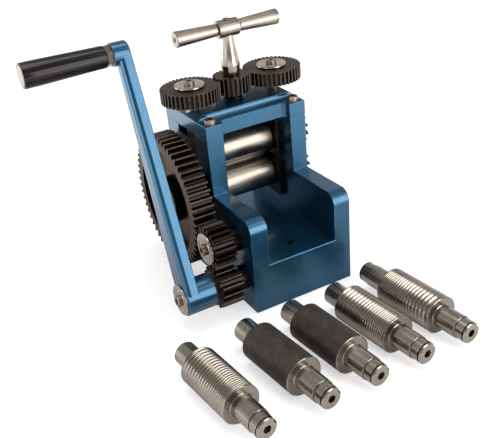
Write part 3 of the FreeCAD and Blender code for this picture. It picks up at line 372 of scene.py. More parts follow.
def finish(slot):
    """Material of a finish, made once."""
    name = slot.replace("_", " ").capitalize()
    if name in bpy.data.materials:
        return bpy.data.materials[name]
    if slot in OTHERS:
        make, tint = OTHERS[slot]
        return make(name, getattr(colours(), tint))
    look = dict(METALS[slot])
    colour = shade(getattr(colours(), look.pop("tint")), look.pop("share", 1.0))[:3]
    return metal(name, colour, **look)


# ---- mesh helpers
FLAT_ANGLE = math.radians(1.0)
SHARP_ANGLE = math.radians(30.0)
CREASE_ANGLE = math.radians(38.0)


def at(x, y, z):
    """Place given in millimetres."""
    return Vector((x, y, z)) * MM


def round_edges(bm, offset, segments=2, chosen=None, clamp=True):
    """Round the convex sharp edges, or those chosen by a test, and mark the new faces."""
    layer = bm.faces.layers.float.get("edge") or bm.faces.layers.float.new("edge")
    sharp = [edge for edge in bm.edges
             if edge.is_manifold and edge.calc_face_angle(0.0) > SHARP_ANGLE]
    wanted = [edge for edge in sharp if (chosen(edge) if chosen else edge.is_convex)]
    made = bmesh.ops.bevel(bm, geom=wanted, offset=offset, offset_type="OFFSET", affect="EDGES",
                           segments=segments, profile=0.5, material=-1, clamp_overlap=clamp)
    for face in made["faces"]:
        face[layer] = 1.0


def close_mesh(bm):
    bmesh.ops.remove_doubles(bm, verts=bm.verts, dist=1e-6)
    bmesh.ops.recalc_face_normals(bm, faces=bm.faces)


def turn(bm, profile, centre, axis, ring=False):
    """Spin a profile of (along, radius) points in millimetres about an axis; each point keeps its
    distance along the profile for the turning marks."""
    layer = bm.verts.layers.float.get("turned") or bm.verts.layers.float.new("turned")
    ahead = AXES[axis]
    outward = AXES["X"] if axis == "Z" else AXES["Z"]
    travelled = 0.0
    points = []
    for index, (along, radius) in enumerate(profile):
        if index:
            travelled += math.dist(profile[index - 1], profile[index]) * MM
        point = bm.verts.new(centre + (ahead * along + outward * radius) * MM)
        point[layer] = travelled
        points.append(point)
    edges = [bm.edges.new(pair) for pair in zip(points[:-1], points[1:])]
    if ring:
        edges.append(bm.edges.new((points[-1], points[0])))
    bmesh.ops.spin(bm, geom=points + edges, cent=centre, axis=ahead, angle=2 * math.pi,
                   steps=sizes().turning_steps, use_merge=True)
    close_mesh(bm)


def mirrored(profile):
    return [(-along, radius) for along, radius in reversed(profile)]


def loose_object(bm):
    mesh = bpy.data.meshes.new("loose")
    bm.to_mesh(mesh)
    bm.free()
    loose = bpy.data.objects.new("loose", mesh)
    bpy.context.scene.collection.objects.link(loose)
    return loose


def joined_shape(first, second, operation):
    """Boolean of two closed meshes; both are used up."""
    body, tool = loose_object(first), loose_object(second)
    step = body.modifiers.new("Cut", "BOOLEAN")
    step.operation = operation
    step.solver = "EXACT"
    step.object = tool
    bpy.context.view_layer.update()
    result = body.evaluated_get(bpy.context.evaluated_depsgraph_get()).to_mesh()
    bm = bmesh.new()
    bm.from_mesh(result)
    for item in (body, tool):
        old = item.data
        bpy.data.objects.remove(item)
        bpy.data.meshes.remove(old)
    return bm


def corner_normals(bm):
    """Normal of every face corner: broad faces stay flat and rounded edges turn between them."""
    bm.normal_update()
    layer = bm.faces.layers.float.get("edge")
    weight = {face: face.normal * face.calc_area() for face in bm.faces}
    rounded = {face for face in bm.faces if layer and face[layer] > 0.5}
    limit = math.cos(CREASE_ANGLE)
    normals = []
    for face in bm.faces:
        for corner in face.loops:
            beside = [other for other in corner.vert.link_faces
                      if other.normal.dot(face.normal) > limit] or [face]
            broad = [other for other in beside if other not in rounded] or beside
            normals.append(sum((weight[other] for other in broad), Vector()).normalized())
    return normals


def place_piece(bm, name, body, slot, nodes, material=None):
    """Turn a bmesh into a piece that rides on a body, if one is named, and stands for nodes."""
    mesh = bpy.data.meshes.new(name)
    for face in bm.faces:
        face.smooth = True
    normals = corner_normals(bm)
    bm.to_mesh(mesh)
    bm.free()
    mesh.normals_split_custom_set(normals)
    mesh.materials.append(finish(material or slot))
    piece = bpy.data.objects.new(name, mesh)
    bpy.context.scene.collection.objects.link(piece)
    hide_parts(*nodes)
    if body:
        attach(piece, body)
    return piece


def body_of(node):
    return frame["nodes"][node]["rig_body"]


def slot_of(node):
    for row in frame["record"]["subparts"]:
        if row["node"] == node:
            return row["material_slot"]
    raise RuntimeError("no finish is named for " + node)


def piece_name(node):
    return node.replace("_", " ").title().replace(" ", "")


def stand_in(bm, node, material=None):
    """Piece that stands for one node, on its body and in its finish."""
    return place_piece(bm, piece_name(node), body_of(node), slot_of(node), (node,), material)


def copied(node):
    """Merged copy of a node's mesh with its flat faces joined."""
    bm = bmesh.new()
    bm.from_mesh(frame["nodes"][node].data)
    bmesh.ops.remove_doubles(bm, verts=bm.verts, dist=2e-6)
    bmesh.ops.dissolve_limit(bm, angle_limit=FLAT_ANGLE, verts=bm.verts, edges=bm.edges)
    return bm


def dressed(node, rounding):
    """The node's own shape with its edges rounded."""
    bm = copied(node)
    round_edges(bm, rounding)
    stand_in(bm, node)


def middle(node):
    low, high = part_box(node)
    return (low + high) / 2


def half_size(node):
    """Half of a node's size along X, Y and Z in millimetres."""
    low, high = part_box(node)
    return (high - low) / 2 / MM


# ---- castings
BORE_RIM = 2.3 * MM
TRAY_EDGE = 8 * MM
TRAY_FLOOR_LEAST = 40 * MM
CAP_SHARE = 0.45


def casting(node):
    """Enamelled casting: rounded edges, finer ones at the seam and fillets in the tray."""
    bm = copied(node)
    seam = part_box("top_cap")[0].z
    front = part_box("top_cap")[0].y

    def at_seam(edge):
        return max(abs(point.co.z - seam) for point in edge.verts) < SAME_PLACE

    def in_tray(edge):
        before_cap = max(point.co.y for point in edge.verts) < front + 0.5 * MM
        above_base = min(point.co.z for point in edge.verts) > TRAY_FLOOR_LEAST
        return before_cap and above_base and not edge.is_convex and edge.calc_length() > TRAY_EDGE

    def outer(edge):
        return not at_seam(edge) and edge.calc_length() >= BORE_RIM and edge.is_convex

    edge_size = sizes().enamel_edge * (CAP_SHARE if node == "top_cap" else 1.0)
    round_edges(bm, edge_size, segments=3, chosen=outer, clamp=False)
    if node == "base_casting":
        round_edges(bm, sizes().tray_fillet, chosen=in_tray)
    round_edges(bm, sizes().seam_edge, segments=1,
                chosen=lambda edge: at_seam(edge) and edge.is_convex)
    stand_in(bm, node)


# ---- screws and washers
CAP_BOLT = {"head_radius": 6.5, "head_height": 5.5, "shank_radius": 4.95, "shank_length": 42.0,
            "flats": 5.0, "crown": 1.8}
RETAINING_SCREW = {"head_radius": 6.5, "head_height": 4.0, "shank_radius": 3.95,
                   "shank_length": 14.0, "flats": 6.0, "crown": 0.8}
LOCK_SCREW = {"head_radius": 6.3, "head_height": 4.4, "shank_radius": 3.95, "shank_length": 14.0,
              "flats": 5.0, "crown": 0.8}
SOCKET_BOTTOM = 0.35
WASHER_BORE = 4.0
WASHER_RING = 0.66
WASHER_STEP = 0.3
WASHER_EASE = 1.1


def add_hex(bm, centre, axis, start, end, flats):
    """Six-sided plug along an axis, from start to end in millimetres."""
    radius = flats / math.sqrt(3) * MM
    made = bmesh.ops.create_cone(bm, cap_ends=True, segments=6, radius1=radius, radius2=radius,
                                 depth=(end - start) * MM)
    if axis == "X":
        lay_down = Matrix.Rotation(math.pi / 2, 3, "Y")
        bmesh.ops.rotate(bm, cent=(0, 0, 0), matrix=lay_down, verts=made["verts"])
    place = centre + AXES[axis] * (start + end) / 2 * MM
    bmesh.ops.translate(bm, vec=place, verts=made["verts"])


def screw(node, axis, outwards, seats, head_radius, head_height, shank_radius, shank_length, flats,
          crown):
    """Screws with round heads and hexagon sockets; seats are under the heads and outwards is +1
    or -1."""
    bm = bmesh.new()
    sockets = bmesh.new()
    shoulder = head_height - crown
    profile = [(-shank_length, 0), (-shank_length, shank_radius), (0, shank_radius),
               (0, head_radius)]
    for step in range(5):
        angle = step * math.pi / 8
        profile.append((shoulder + crown * math.sin(angle),
                        head_radius - crown * (1 - math.cos(angle))))
    profile.append((head_height, 0))
    for seat in seats:
        turn(bm, [(along * outwards, radius) for along, radius in profile], seat, axis)
        span = sorted((outwards * head_height * SOCKET_BOTTOM, outwards * (head_height + 1)))
        add_hex(sockets, seat, axis, span[0], span[1], flats)
    stand_in(joined_shape(bm, sockets, "DIFFERENCE"), node)


def retaining_screw(name):
    """Socket screw that holds a washer on the end of a shaft."""
    seat = middle(name + "_washer")
    seat.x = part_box(name + "_washer")[0].x
    screw(name + "_screw", "X", -1, [seat], **RETAINING_SCREW)


def washer(node, axis):
    """Turned washer with eased edges and a turned step near its bore."""
    side = "XYZ".index(axis)
    half = half_size(node)
    thick, outer = half[side], half.y
    bm = bmesh.new()
    ring = outer * WASHER_RING
    sunk = thick - WASHER_STEP
    top = [(thick, WASHER_BORE), (thick, ring), (sunk, ring + 0.3), (sunk, ring + 0.8),
           (thick, ring + 1.1), (thick, outer - WASHER_EASE), (sunk, outer - 0.35),
           (thick - WASHER_EASE, outer)]
    turn(bm, top + mirrored(top), middle(node), axis, ring=True)
    stand_in(bm, node, "polished_steel")


# ---- bearings
SPRING_RADIUS = 2.6 * MM
SPRING_WIRE = 0.42 * MM
STEPS_PER_COIL = 16
BUSH_EASE = 0.3
BUSH_MOUTH = 0.4
ROLL_BUSH_BORE = 12.55
OTHER_BUSH_BORES = {"idler_bush": 10.05, "crank_bush": 9.05}


def lift_springs():
    """Four coil springs that stretch between the frame and the upper bearings."""
    low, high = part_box("lift_springs")
    coils = sizes().spring_coils
    steps = coils * STEPS_PER_COIL
    rise = high.z - low.z - 2 * SPRING_WIRE
    stand_up = Matrix.Rotation(math.pi / 2, 3, "X")
    bm = bmesh.new()
    for x in (low.x + SPRING_RADIUS, high.x - SPRING_RADIUS):
        for y in (low.y + SPRING_RADIUS, high.y - SPRING_RADIUS):
            centre = Vector((x, y, low.z + SPRING_WIRE))
            made = bmesh.ops.create_circle(bm, cap_ends=False, segments=8, radius=SPRING_WIRE)
            section = made["verts"]
            bmesh.ops.rotate(bm, cent=(0, 0, 0), matrix=stand_up, verts=section)
            offset = Vector((SPRING_RADIUS - SPRING_WIRE, 0, 0))
            bmesh.ops.translate(bm, vec=centre + offset, verts=section)
            rings = list({edge for point in section for edge in point.link_edges})
            bmesh.ops.spin(bm, geom=section + rings, cent=centre, axis=AXES["Z"],
                           angle=2 * math.pi * coils, dvec=(0, 0, rise / steps), steps=steps)
    bmesh.ops.holes_fill(bm, edges=[edge for edge in bm.edges if edge.is_boundary])
    bmesh.ops.recalc_face_normals(bm, faces=bm.faces)
    springs = place_piece(bm, "LiftSprings", None, slot_of("lift_springs"), ("lift_springs",))
    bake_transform(springs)


def bush(node):
    """Turned bronze bush along X."""
    half = half_size(node)
    inner = OTHER_BUSH_BORES.get(node, ROLL_BUSH_BORE)
    bm = bmesh.new()
    right = [(half.x - BUSH_EASE, half.y), (half.x, half.y - BUSH_EASE),
             (half.x, inner + BUSH_MOUTH)]
    bore = [(half.x - BUSH_MOUTH, inner), (BUSH_MOUTH - half.x, inner)]
    turn(bm, mirrored(right) + right + bore, middle(node), "X", ring=True)
    stand_in(bm, node)


# ---- rolls
ROLL_RADIUS = 21.0
ROLL_END = 37.5
JOURNAL_RADIUS = 12.5
JOURNAL_END = 65.5
SEAT_RADIUS = 11.5
SEAT_END = 78.5
REAR_SEAT = 12.0
SHOULDER_FILLET = 0.8
JOURNAL_EASE = 0.4
END_CHAMFER = 1.1
BARREL_EASE = 0.7
UNDERCUT_DEPTH = 0.5
UNDERCUT_WIDTH = 0.8
RING_DEPTH = 1.1
RING_WIDTH = 1.5
RING_PLACE = 3.1
SOCKET_FLATS = 8.0
SOCKET_DEPTH = 9.0
KEY_WIDTH = 5.0
KEY_RUNOUT = 1.0
PAST_END = 2.0
KEY_ANGLE = -62.0
LAY_ANGLE = 4.9
VEE_DEPTH = 0.5
VEE_BOTTOM = (0.42, 0.58)
ROUND_DEPTH = 0.46


def seat_profile(start, end):
    """Profile of a keyed seat from its shoulder to its end face, with a ring groove near it."""
    ring = end - RING_PLACE
    return [(start, SEAT_RADIUS - UNDERCUT_DEPTH),
            (start + UNDERCUT_WIDTH, SEAT_RADIUS - UNDERCUT_DEPTH),
            (start + UNDERCUT_WIDTH, SEAT_RADIUS), (ring, SEAT_RADIUS),
            (ring, SEAT_RADIUS - RING_DEPTH), (ring + RING_WIDTH, SEAT_RADIUS - RING_DEPTH),
            (ring + RING_WIDTH, SEAT_RADIUS), (end - END_CHAMFER, SEAT_RADIUS),
            (end, SEAT_RADIUS - END_CHAMFER), (end, 0)]


def journal(ease):
    """Profile from the roll's shoulder over the journal to its eased end."""
    return [(ROLL_END, JOURNAL_RADIUS + SHOULDER_FILLET),
            (ROLL_END + SHOULDER_FILLET, JOURNAL_RADIUS), (JOURNAL_END - ease, JOURNAL_RADIUS),
            (JOURNAL_END, JOURNAL_RADIUS - ease)]


def keyed_end():
    """Profile from the roll's shoulder over the journal and the keyed seat to the axis."""
    return journal(JOURNAL_EASE) + seat_profile(JOURNAL_END, SEAT_END)


def plain_end():
    """Profile from the axis over the plain journal to the roll's shoulder."""
    return mirrored(journal(END_CHAMFER) + [(JOURNAL_END, 0)])


def seated_end(length):
    """Profile of a rear end that carries a second seat behind its journal."""
    return mirrored(journal(JOURNAL_EASE) + seat_profile(JOURNAL_END, JOURNAL_END + length))


def plain_barrel():
    return [(-ROLL_END, ROLL_RADIUS - BARREL_EASE), (-ROLL_END + BARREL_EASE, ROLL_RADIUS),
            (ROLL_END - BARREL_EASE, ROLL_RADIUS), (ROLL_END, ROLL_RADIUS - BARREL_EASE)]


def vee_groove(start, width):
    depth = width * VEE_DEPTH
    return [(start, ROLL_RADIUS), (start + width * VEE_BOTTOM[0], ROLL_RADIUS - depth),
            (start + width * VEE_BOTTOM[1], ROLL_RADIUS - depth), (start + width, ROLL_RADIUS)]


def round_groove(start, width):
    depth = width * ROUND_DEPTH
    points = []
    for step in range(7):
        angle = math.pi * step / 6
        points.append((start + width / 2 * (1 - math.cos(angle)),
                       ROLL_RADIUS - depth * math.sin(angle)))
    return points


def grooved_barrel(groove, first, last, count, land):
    """Barrel with a row of grooves whose widths run evenly from first to last."""
    widths = [first + (last - first) * index / (count - 1) for index in range(count)]
    place = -(sum(widths) + land * (count - 1)) / 2
    points = plain_barrel()[:2]
    for width in widths:
        points += groove(place, width)
        place += width + land
    return points + plain_barrel()[2:]


def add_block(bm, size, centre, angle):
    """Block of a size round a centre in millimetres, turned about the X axis."""
    made = bmesh.ops.create_cube(bm, size=1.0)["verts"]
    bmesh.ops.scale(bm, vec=at(*size), verts=made)
    bmesh.ops.translate(bm, vec=at(*centre), verts=made)
    turned = Matrix.Rotation(angle, 3, "X")
    bmesh.ops.rotate(bm, cent=(0, 0, 0), matrix=turned, verts=made)


def roll_shape(profile, key_angle):
    """Roll along X about the origin with its key slot and its hexagon hole."""
    bm = bmesh.new()
    turn(bm, profile, Vector((0, 0, 0)), "X")
    cutter = bmesh.new()
    start, end = JOURNAL_END + KEY_RUNOUT, SEAT_END + PAST_END
    add_block(cutter, (end - start, KEY_WIDTH, KEY_WIDTH),
              ((end + start) / 2, 0, SEAT_RADIUS), math.radians(key_angle))
    add_hex(cutter, Vector((0, 0, 0)), "X", SEAT_END - SOCKET_DEPTH, SEAT_END + 1, SOCKET_FLATS)
    return joined_shape(bm, cutter, "DIFFERENCE")


def dark_band(piece, centre, ahead, material, start, end, least, most):
    """Give another finish to the faces between two places along a roll and between two radii."""
    piece.data.materials.append(finish(material))
    index = len(piece.data.materials) - 1
    for face in piece.data.polygons:
        off = (face.center - centre) / MM
        along = off.dot(ahead)
        if start < along < end and least < (off - ahead * along).length < most:
            face.material_index = index


def dark_ring(piece, centre, ahead, end):
    """Blackened bottom and walls of the ring groove near an end face: a black circlip's colour with
    painted shade in the recess.
    """
    ring = end - RING_PLACE
    dark_band(piece, centre, ahead, "blackened_steel", ring - 0.05, ring + RING_WIDTH + 0.05,
              SEAT_RADIUS - RING_DEPTH - 0.2, SEAT_RADIUS - 0.1)


def spare_roll(node, rear, barrel, etched=False):
    """Roll lying with its keyed end to the front."""
    bm = roll_shape(rear + barrel + keyed_end(), KEY_ANGLE)
    low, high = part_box(node)
    lay = Matrix.Rotation(math.radians(LAY_ANGLE - 90), 3, "Z")
    bmesh.ops.rotate(bm, cent=(0, 0, 0), matrix=lay, verts=bm.verts)
    bounds = [min(point.co[axis] for point in bm.verts) for axis in range(3)]
    shift = Vector((low.x - bounds[0], low.y - bounds[1], ROLL_RADIUS * MM))
    bmesh.ops.translate(bm, vec=shift, verts=bm.verts)
    piece = stand_in(bm, node)
    ahead = lay @ AXES["X"]
    dark_ring(piece, shift, ahead, SEAT_END)
    if etched:
        dark_band(piece, shift, ahead, "etched_barrel", 0.5 - ROLL_END, ROLL_END - 0.5,
                  ROLL_RADIUS - 0.5, ROLL_RADIUS + 1)


def mill_roll(node, left_end):
    """Smooth roll between the cheeks."""
    bm = roll_shape(left_end + plain_barrel() + keyed_end(), 0.0)
    place = middle(node)
    bmesh.ops.translate(bm, vec=(0, place.y, place.z), verts=bm.verts)
    stand_in(bm, node, "roll_steel")


# ---- handle
COLLAR_FACE = 13.0
BAR_NECK = 5.4
BAR_ROOT = 7.1
CENTRE_HOLE = 2.3
CENTRE_HOLE_DEPTH = 5.0
SPINDLE_SHANK = 7.0
SPINDLE_FOOT = 10.1
SPINDLE_WAIST = 11.1
SPINDLE_NECK = 7.0
WAIST_RISE = 12
RIVET = 3.5


def handle_bar(node, side):
    """Turned half of the cross handle: a neck, a taper, a line, a chamfer and a centre hole."""
    half = half_size(node)
    place = middle(node)
    start, end = COLLAR_FACE, COLLAR_FACE + 2 * half.x
    full = half.y
    neck = [(start, 0), (start, BAR_NECK), (start + 1.5, BAR_NECK), (start + 1.5, BAR_ROOT - 0.4),
            (start + 2.0, BAR_ROOT)]
    line = [(end - 4.6, full - 0.12), (end - 4.4, full - 0.45), (end - 4.1, full - 0.45),
            (end - 3.9, full - 0.05)]
    face = [(end - 1.0, full), (end, full - 1.0), (end, CENTRE_HOLE + 1.0),
            (end - 0.9, CENTRE_HOLE), (end - CENTRE_HOLE_DEPTH, CENTRE_HOLE),
            (end - CENTRE_HOLE_DEPTH, 0)]
    bm = bmesh.new()
    profile = [(side * along, radius) for along, radius in neck + line + face]
    turn(bm, profile, Vector((0, place.y, place.z)), "X")
    stand_in(bm, node)


def bottle(foot, waist, neck):
    """Profile of the spindle from its foot over the waist to the neck."""
    points = [(foot, SPINDLE_FOOT - 0.7), (foot + 0.6, SPINDLE_FOOT),
              (waist - 0.3, SPINDLE_WAIST), (waist + 0.3, SPINDLE_WAIST)]
    for step in range(1, 11):
        share = step / 10
        ease = (1 - math.cos(share * math.pi)) / 2 * 0.45 + share * 0.55
        points.append((waist + (neck - waist) * share,
                       SPINDLE_WAIST + (SPINDLE_NECK - SPINDLE_WAIST) * ease))
    return points


def handle_spindle():
    """Stem of the cross handle with its riveted pin end."""
    low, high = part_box("handle_spindle")
    top = high.z / MM
    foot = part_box("centre_pinion")[1].z / MM
    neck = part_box("handle_hub")[0].z / MM
    bm = bmesh.new()
    profile = [(low.z / MM, 0), (low.z / MM, SPINDLE_SHANK), (foot, SPINDLE_SHANK)]
    profile += bottle(foot, foot + WAIST_RISE, neck)
    profile += [(neck + 5, SPINDLE_NECK), (neck + 5, RIVET), (top, RIVET), (top, RIVET + 0.9),
                (top + 0.7, RIVET + 0.5), (top + 1.3, 2.4), (top + 1.5, 0)]
    centre = middle("handle_spindle")
    turn(bm, profile, Vector((centre.x, centre.y, 0)), "Z")
    stand_in(bm, "handle_spindle", "spindle_steel")


def handle_hub():
    """Turned collar with a stud at each end."""
    half = half_size("handle_hub")
    face = COLLAR_FACE
    stud = 5.0
    right = [(0, half.y), (face - 3.2, half.y), (face - 3.0, half.y - 0.3),
             (face - 2.6, half.y - 0.3), (face - 2.4, half.y), (face - 0.8, half.y),
             (face, half.y - 0.8), (face, stud), (half.x, stud), (half.x, 0)]
    bm = bmesh.new()
    turn(bm, mirrored(right)[:-1] + right, middle("handle_hub"), "X")
    stand_in(bm, "handle_hub")


# ---- crank
ELBOW_HEIGHT = 22 * MM
GRIP_TAPER = 1.6


def crank_arm():
    """Enamelled arm with a well-rounded elbow."""
    bm = copied("crank_arm")
    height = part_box("crank_arm")[1].z - ELBOW_HEIGHT
    inner = max(point.co.x for point in bm.verts if point.co.z > height)

    def at_elbow(edge):
        off = max(abs(point.co.x - inner) for point in edge.verts)
        above = min(point.co.z for point in edge.verts) > height
        return edge.is_convex and off < SAME_PLACE and above

    round_edges(bm, sizes().elbow_edge, segments=5, chosen=at_elbow, clamp=False)
    round_edges(bm, sizes().enamel_edge, segments=3, clamp=False)
    stand_in(bm, "crank_arm")


def grip_nut():
    """Hexagon nut between the grip and the arm."""
    bm = copied("grip_nut")
    round_edges(bm, sizes().machined_edge)
    stand_in(bm, "grip_nut", "nut_steel")


def grip():
    """Tapered moulding with rounded ends and a recess for its cap."""
    low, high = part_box("grip")
    outer, inner = low.x / MM, high.x / MM
    big = (high.y - low.y) / MM / 2
    small = big - GRIP_TAPER
    centre = middle("grip")
    cap = half_size("grip_cap").y
    bolt = 5.1
    outer_end = [(outer + 1.5, 0), (outer + 1.5, cap), (outer + 0.3, cap), (outer, cap + 0.4),
                 (outer, big - 0.9), (outer + 0.3, big - 0.3), (outer + 1.0, big)]
    taper = [(outer + 14.0, big + 0.05), (inner - 9.0, small + 0.1)]
    inner_end = [(inner - 1.2, small), (inner - 0.3, small - 0.4), (inner, small - 1.2),
                 (inner, bolt), (inner - 3, bolt), (inner - 3, 0)]
    bm = bmesh.new()
    turn(bm, outer_end + taper + inner_end, Vector((0, centre.y, centre.z)), "X")
    stand_in(bm, "grip")


def grip_cap():
    """Steel disc in the end of the grip."""
    half = half_size("grip_cap")
    profile = [(-half.x - 0.3, 0), (-half.x - 0.3, half.y - 1.0), (-half.x, half.y - 0.4),
               (half.x, half.y - 0.4), (half.x, 0)]
    bm = bmesh.new()
    turn(bm, profile, middle("grip_cap"), "X")
    stand_in(bm, "grip_cap")


# ---- stage
CAMERA_PLACE = (-0.4109, -0.7652, 0.5309)
CAMERA_ANGLES = (-26.826, 28.558, -5.475)
CAMERA_LENS = 60.78
CAMERA_SENSOR = 36.0
LIGHT_TARGET = (-0.03, -0.08, 0.12)
LIGHTS = (
    ("Key light", (0.50, -1.25, 0.42), 0.85, 1.1, 12.0),
    ("Left light", (-1.3, -0.25, 0.4), 0.5, 0.5, 3.0),
    ("Rear light", (-0.95, 1.05, 0.22), 0.5, 0.4, 2.2),
    ("Overhead light", (-0.1, 0.0, 1.4), 0.8, 0.8, 6.0),
    ("Front light", (0.49, -0.70, 1.13), 0.4, 0.4, 1.0),
)
WHITE = (1.0, 1.0, 1.0, 1.0)
FILL_STRENGTH = 0.32
FLOOR_HALF = 4.0
FLOOR_COLOUR = (0.86, 0.86, 0.86, 1.0)
UNDER_MILL = (0.0, -0.07, 0.0)
UNDER_VIEWER = (-0.40, -0.80, 0.0)


def camera_axes():
    """Right, up and back of the camera from its compass angle, height angle and roll."""
    turned, rise, roll = (math.radians(angle) for angle in CAMERA_ANGLES)
    back = Vector((math.sin(turned) * math.cos(rise), -math.cos(turned) * math.cos(rise),
                   math.sin(rise)))
    right = (-back).cross(AXES["Z"]).normalized()
    up = right.cross(-back)
    return (math.cos(roll) * right + math.sin(roll) * up,
            math.cos(roll) * up - math.sin(roll) * right, back)


def set_camera():
    lens = bpy.data.cameras.new("Camera")
    lens.lens = CAMERA_LENS
    lens.sensor_width = CAMERA_SENSOR
    lens.sensor_fit = "HORIZONTAL"
    camera = bpy.data.objects.new("Camera", lens)
    bpy.context.scene.collection.objects.link(camera)
    turned = Matrix(camera_axes()).transposed().to_4x4()
    camera.matrix_world = Matrix.Translation(CAMERA_PLACE) @ turned
    bpy.context.scene.camera = camera


def soft_light(name, place, width, height, power):
    lamp = bpy.data.lights.new(name, "AREA")
    lamp.shape = "RECTANGLE"
    lamp.size = width
    lamp.size_y = height
    lamp.energy = power
    light = bpy.data.objects.new(name, lamp)
    light.visible_camera = False
    bpy.context.scene.collection.objects.link(light)
    aim = (Vector(LIGHT_TARGET) - Vector(place)).to_track_quat("-Z", "Y")
    light.matrix_world = Matrix.Translation(place) @ aim.to_matrix().to_4x4()


def seen_rays(tree, mirror_share):
    """1 for the camera's rays, a share for those of mirrors and glass, 0 for those that light."""
    path = tree.nodes.new("ShaderNodeLightPath").outputs
    both = math_node(tree, "MAXIMUM", path["Is Glossy Ray"], path["Is Transmission Ray"])
    share = math_node(tree, "MULTIPLY", both, mirror_share)
    return math_node(tree, "MAXIMUM", share, path["Is Camera Ray"])


def set_world():
    """White backdrop for the eye, a plain fill light, and in mirrors a dimmer room above and
    behind the viewer."""
    world = bpy.data.worlds.new("Studio")
    world.use_nodes = True
    bpy.context.scene.world = world
    tree = world.node_tree
    place = tree.nodes.new("ShaderNodeTexCoord").outputs["Generated"]
    direction = add_node(tree, "ShaderNodeSeparateXYZ", {0: place}).outputs
    towards_viewer = ranged(tree, direction["Y"], 0.35, 1.0, -0.85, -0.05)
    overhead = ranged(tree, direction["Z"], 0.95, 0.5, 0.12, 0.5)
    seen = seen_rays(tree, math_node(tree, "MULTIPLY", towards_viewer, overhead))
    background = tree.nodes["Background"]
    background.inputs["Color"].default_value = WHITE
    tree.links.new(math_node(tree, "MAXIMUM", seen, FILL_STRENGTH), background.inputs["Strength"])


def distance_from(tree, point):
    place = tree.nodes.new("ShaderNodeTexCoord").outputs["Object"]
    return add_node(tree, "ShaderNodeVectorMath", {0: place, 1: point},
                    operation="DISTANCE").outputs["Value"]


def set_floor():
    """White paper floor that keeps the shadow; in mirrors its glow is a painted reflection, dimmer
    near the mill and towards the viewer.
    """
    bm = bmesh.new()
    bmesh.ops.create_grid(bm, x_segments=2, y_segments=2, size=FLOOR_HALF)
    mesh = bpy.data.meshes.new("Floor")
    bm.to_mesh(mesh)
    bm.free()
    paper, tree, surface = new_material("white_paper")
    surface.inputs["Base Color"].default_value = FLOOR_COLOUR
    surface.inputs["Roughness"].default_value = 0.9
    surface.inputs["Specular IOR Level"].default_value = 0.1
    surface.inputs["Emission Color"].default_value = WHITE
    away = distance_from(tree, UNDER_MILL)
    # Painted reflection: the glow that mirrors see falls off near the mill and near the viewer,
    # painting shade into what the metal reflects.
    near_mill = ranged(tree, away, 0.12, 1.4, 0.20, 0.46)
    near_viewer = ranged(tree, distance_from(tree, UNDER_VIEWER), 0.25, 1.0, 0.3, 0.5)
    seen = seen_rays(tree, math_node(tree, "MULTIPLY", near_mill, near_viewer))
    glow = math_node(tree, "MULTIPLY", seen, ranged(tree, away, 0.55, 1.0, 0.4, 1.5))
    tree.links.new(glow, surface.inputs["Emission Strength"])
    mesh.materials.append(paper)
    floor = bpy.data.objects.new("Floor", mesh)
    bpy.context.scene.collection.objects.link(floor)


# ---- operators
class MILL_OT_castings(bpy.types.Operator):
    """Enamelled base casting and top cap with the cap's bolts"""
    bl_idname = "mill.castings"
    bl_label = "Castings"

    def execute(self, context):
        casting("base_casting")
        casting("top_cap")
        low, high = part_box("cap_bolts")
        head = CAP_BOLT["head_radius"] * MM
        seat = high.z - CAP_BOLT["head_height"] * MM
        seats = [Vector((x, y, seat)) for x in (low.x + head, high.x - head)
                 for y in (low.y + head, high.y - head)]
        screw("cap_bolts", "Z", 1, seats, **CAP_BOLT)
        return {"FINISHED"}


class MILL_OT_bearings(bpy.types.Operator):
    """Bearing blocks, bronze bushes and coil springs"""
    bl_idname = "mill.bearings"
    bl_label = "Bearings"

    def execute(self, context):
        for level in ("lower", "upper"):
            for side in ("left", "right"):
                dressed(level + "_block_" + side, sizes().machined_edge)
                bush(level + "_bush_" + side)
        dressed("spindle_bush", sizes().machined_edge / 2)
        lift_springs()
        return {"FINISHED"}


class MILL_OT_rolls(bpy.types.Operator):
    """The two smooth rolls"""
    bl_idname = "mill.rolls"
    bl_label = "Rolls"

    def execute(self, context):
        mill_roll("upper_roll", plain_end())
        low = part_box("lower_roll")[0]
        mill_roll("lower_roll", seated_end(-low.x / MM - JOURNAL_END))
        return {"FINISHED"}


class MILL_OT_coupling(bpy.types.Operator):
    """Coupling gears on the rolls' right ends with their keys and screws"""
    bl_idname = "mill.coupling"
    bl_label = "Coupling"

    def execute(self, context):
        for level in ("lower", "upper"):
            for part in ("gear", "key", "screw"):
                dressed(level + "_coupling_" + part, sizes().tooth_edge)
        return {"FINISHED"}


class MILL_OT_drive(bpy.types.Operator):
    """Big gear, idler and crank pinion with their shafts, keys, washers and screws"""
    bl_idname = "mill.drive"
    bl_label = "Drive"

    def execute(self, context):
        for node in ("big_gear", "idler_gear", "drive_pinion", "big_gear_key", "pinion_key",
                     "idler_stud", "drive_shaft"):
            dressed(node, sizes().tooth_edge)
        for node in ("idler_bush", "crank_bush"):
            bush(node)
        for name in ("idler", "big_gear"):
            washer(name + "_washer", "X")
            retaining_screw(name)
        return {"FINISHED"}


class MILL_OT_crank(bpy.types.Operator):
    """Crank arm with its washer, screw, grip, bolt and nut"""
    bl_idname = "mill.crank"
    bl_label = "Crank"

    def execute(self, context):
        crank_arm()
        washer("crank_washer", "X")
        retaining_screw("crank")
        grip_nut()
        dressed("grip_bolt", sizes().tooth_edge)
        grip()
        grip_cap()
        return {"FINISHED"}


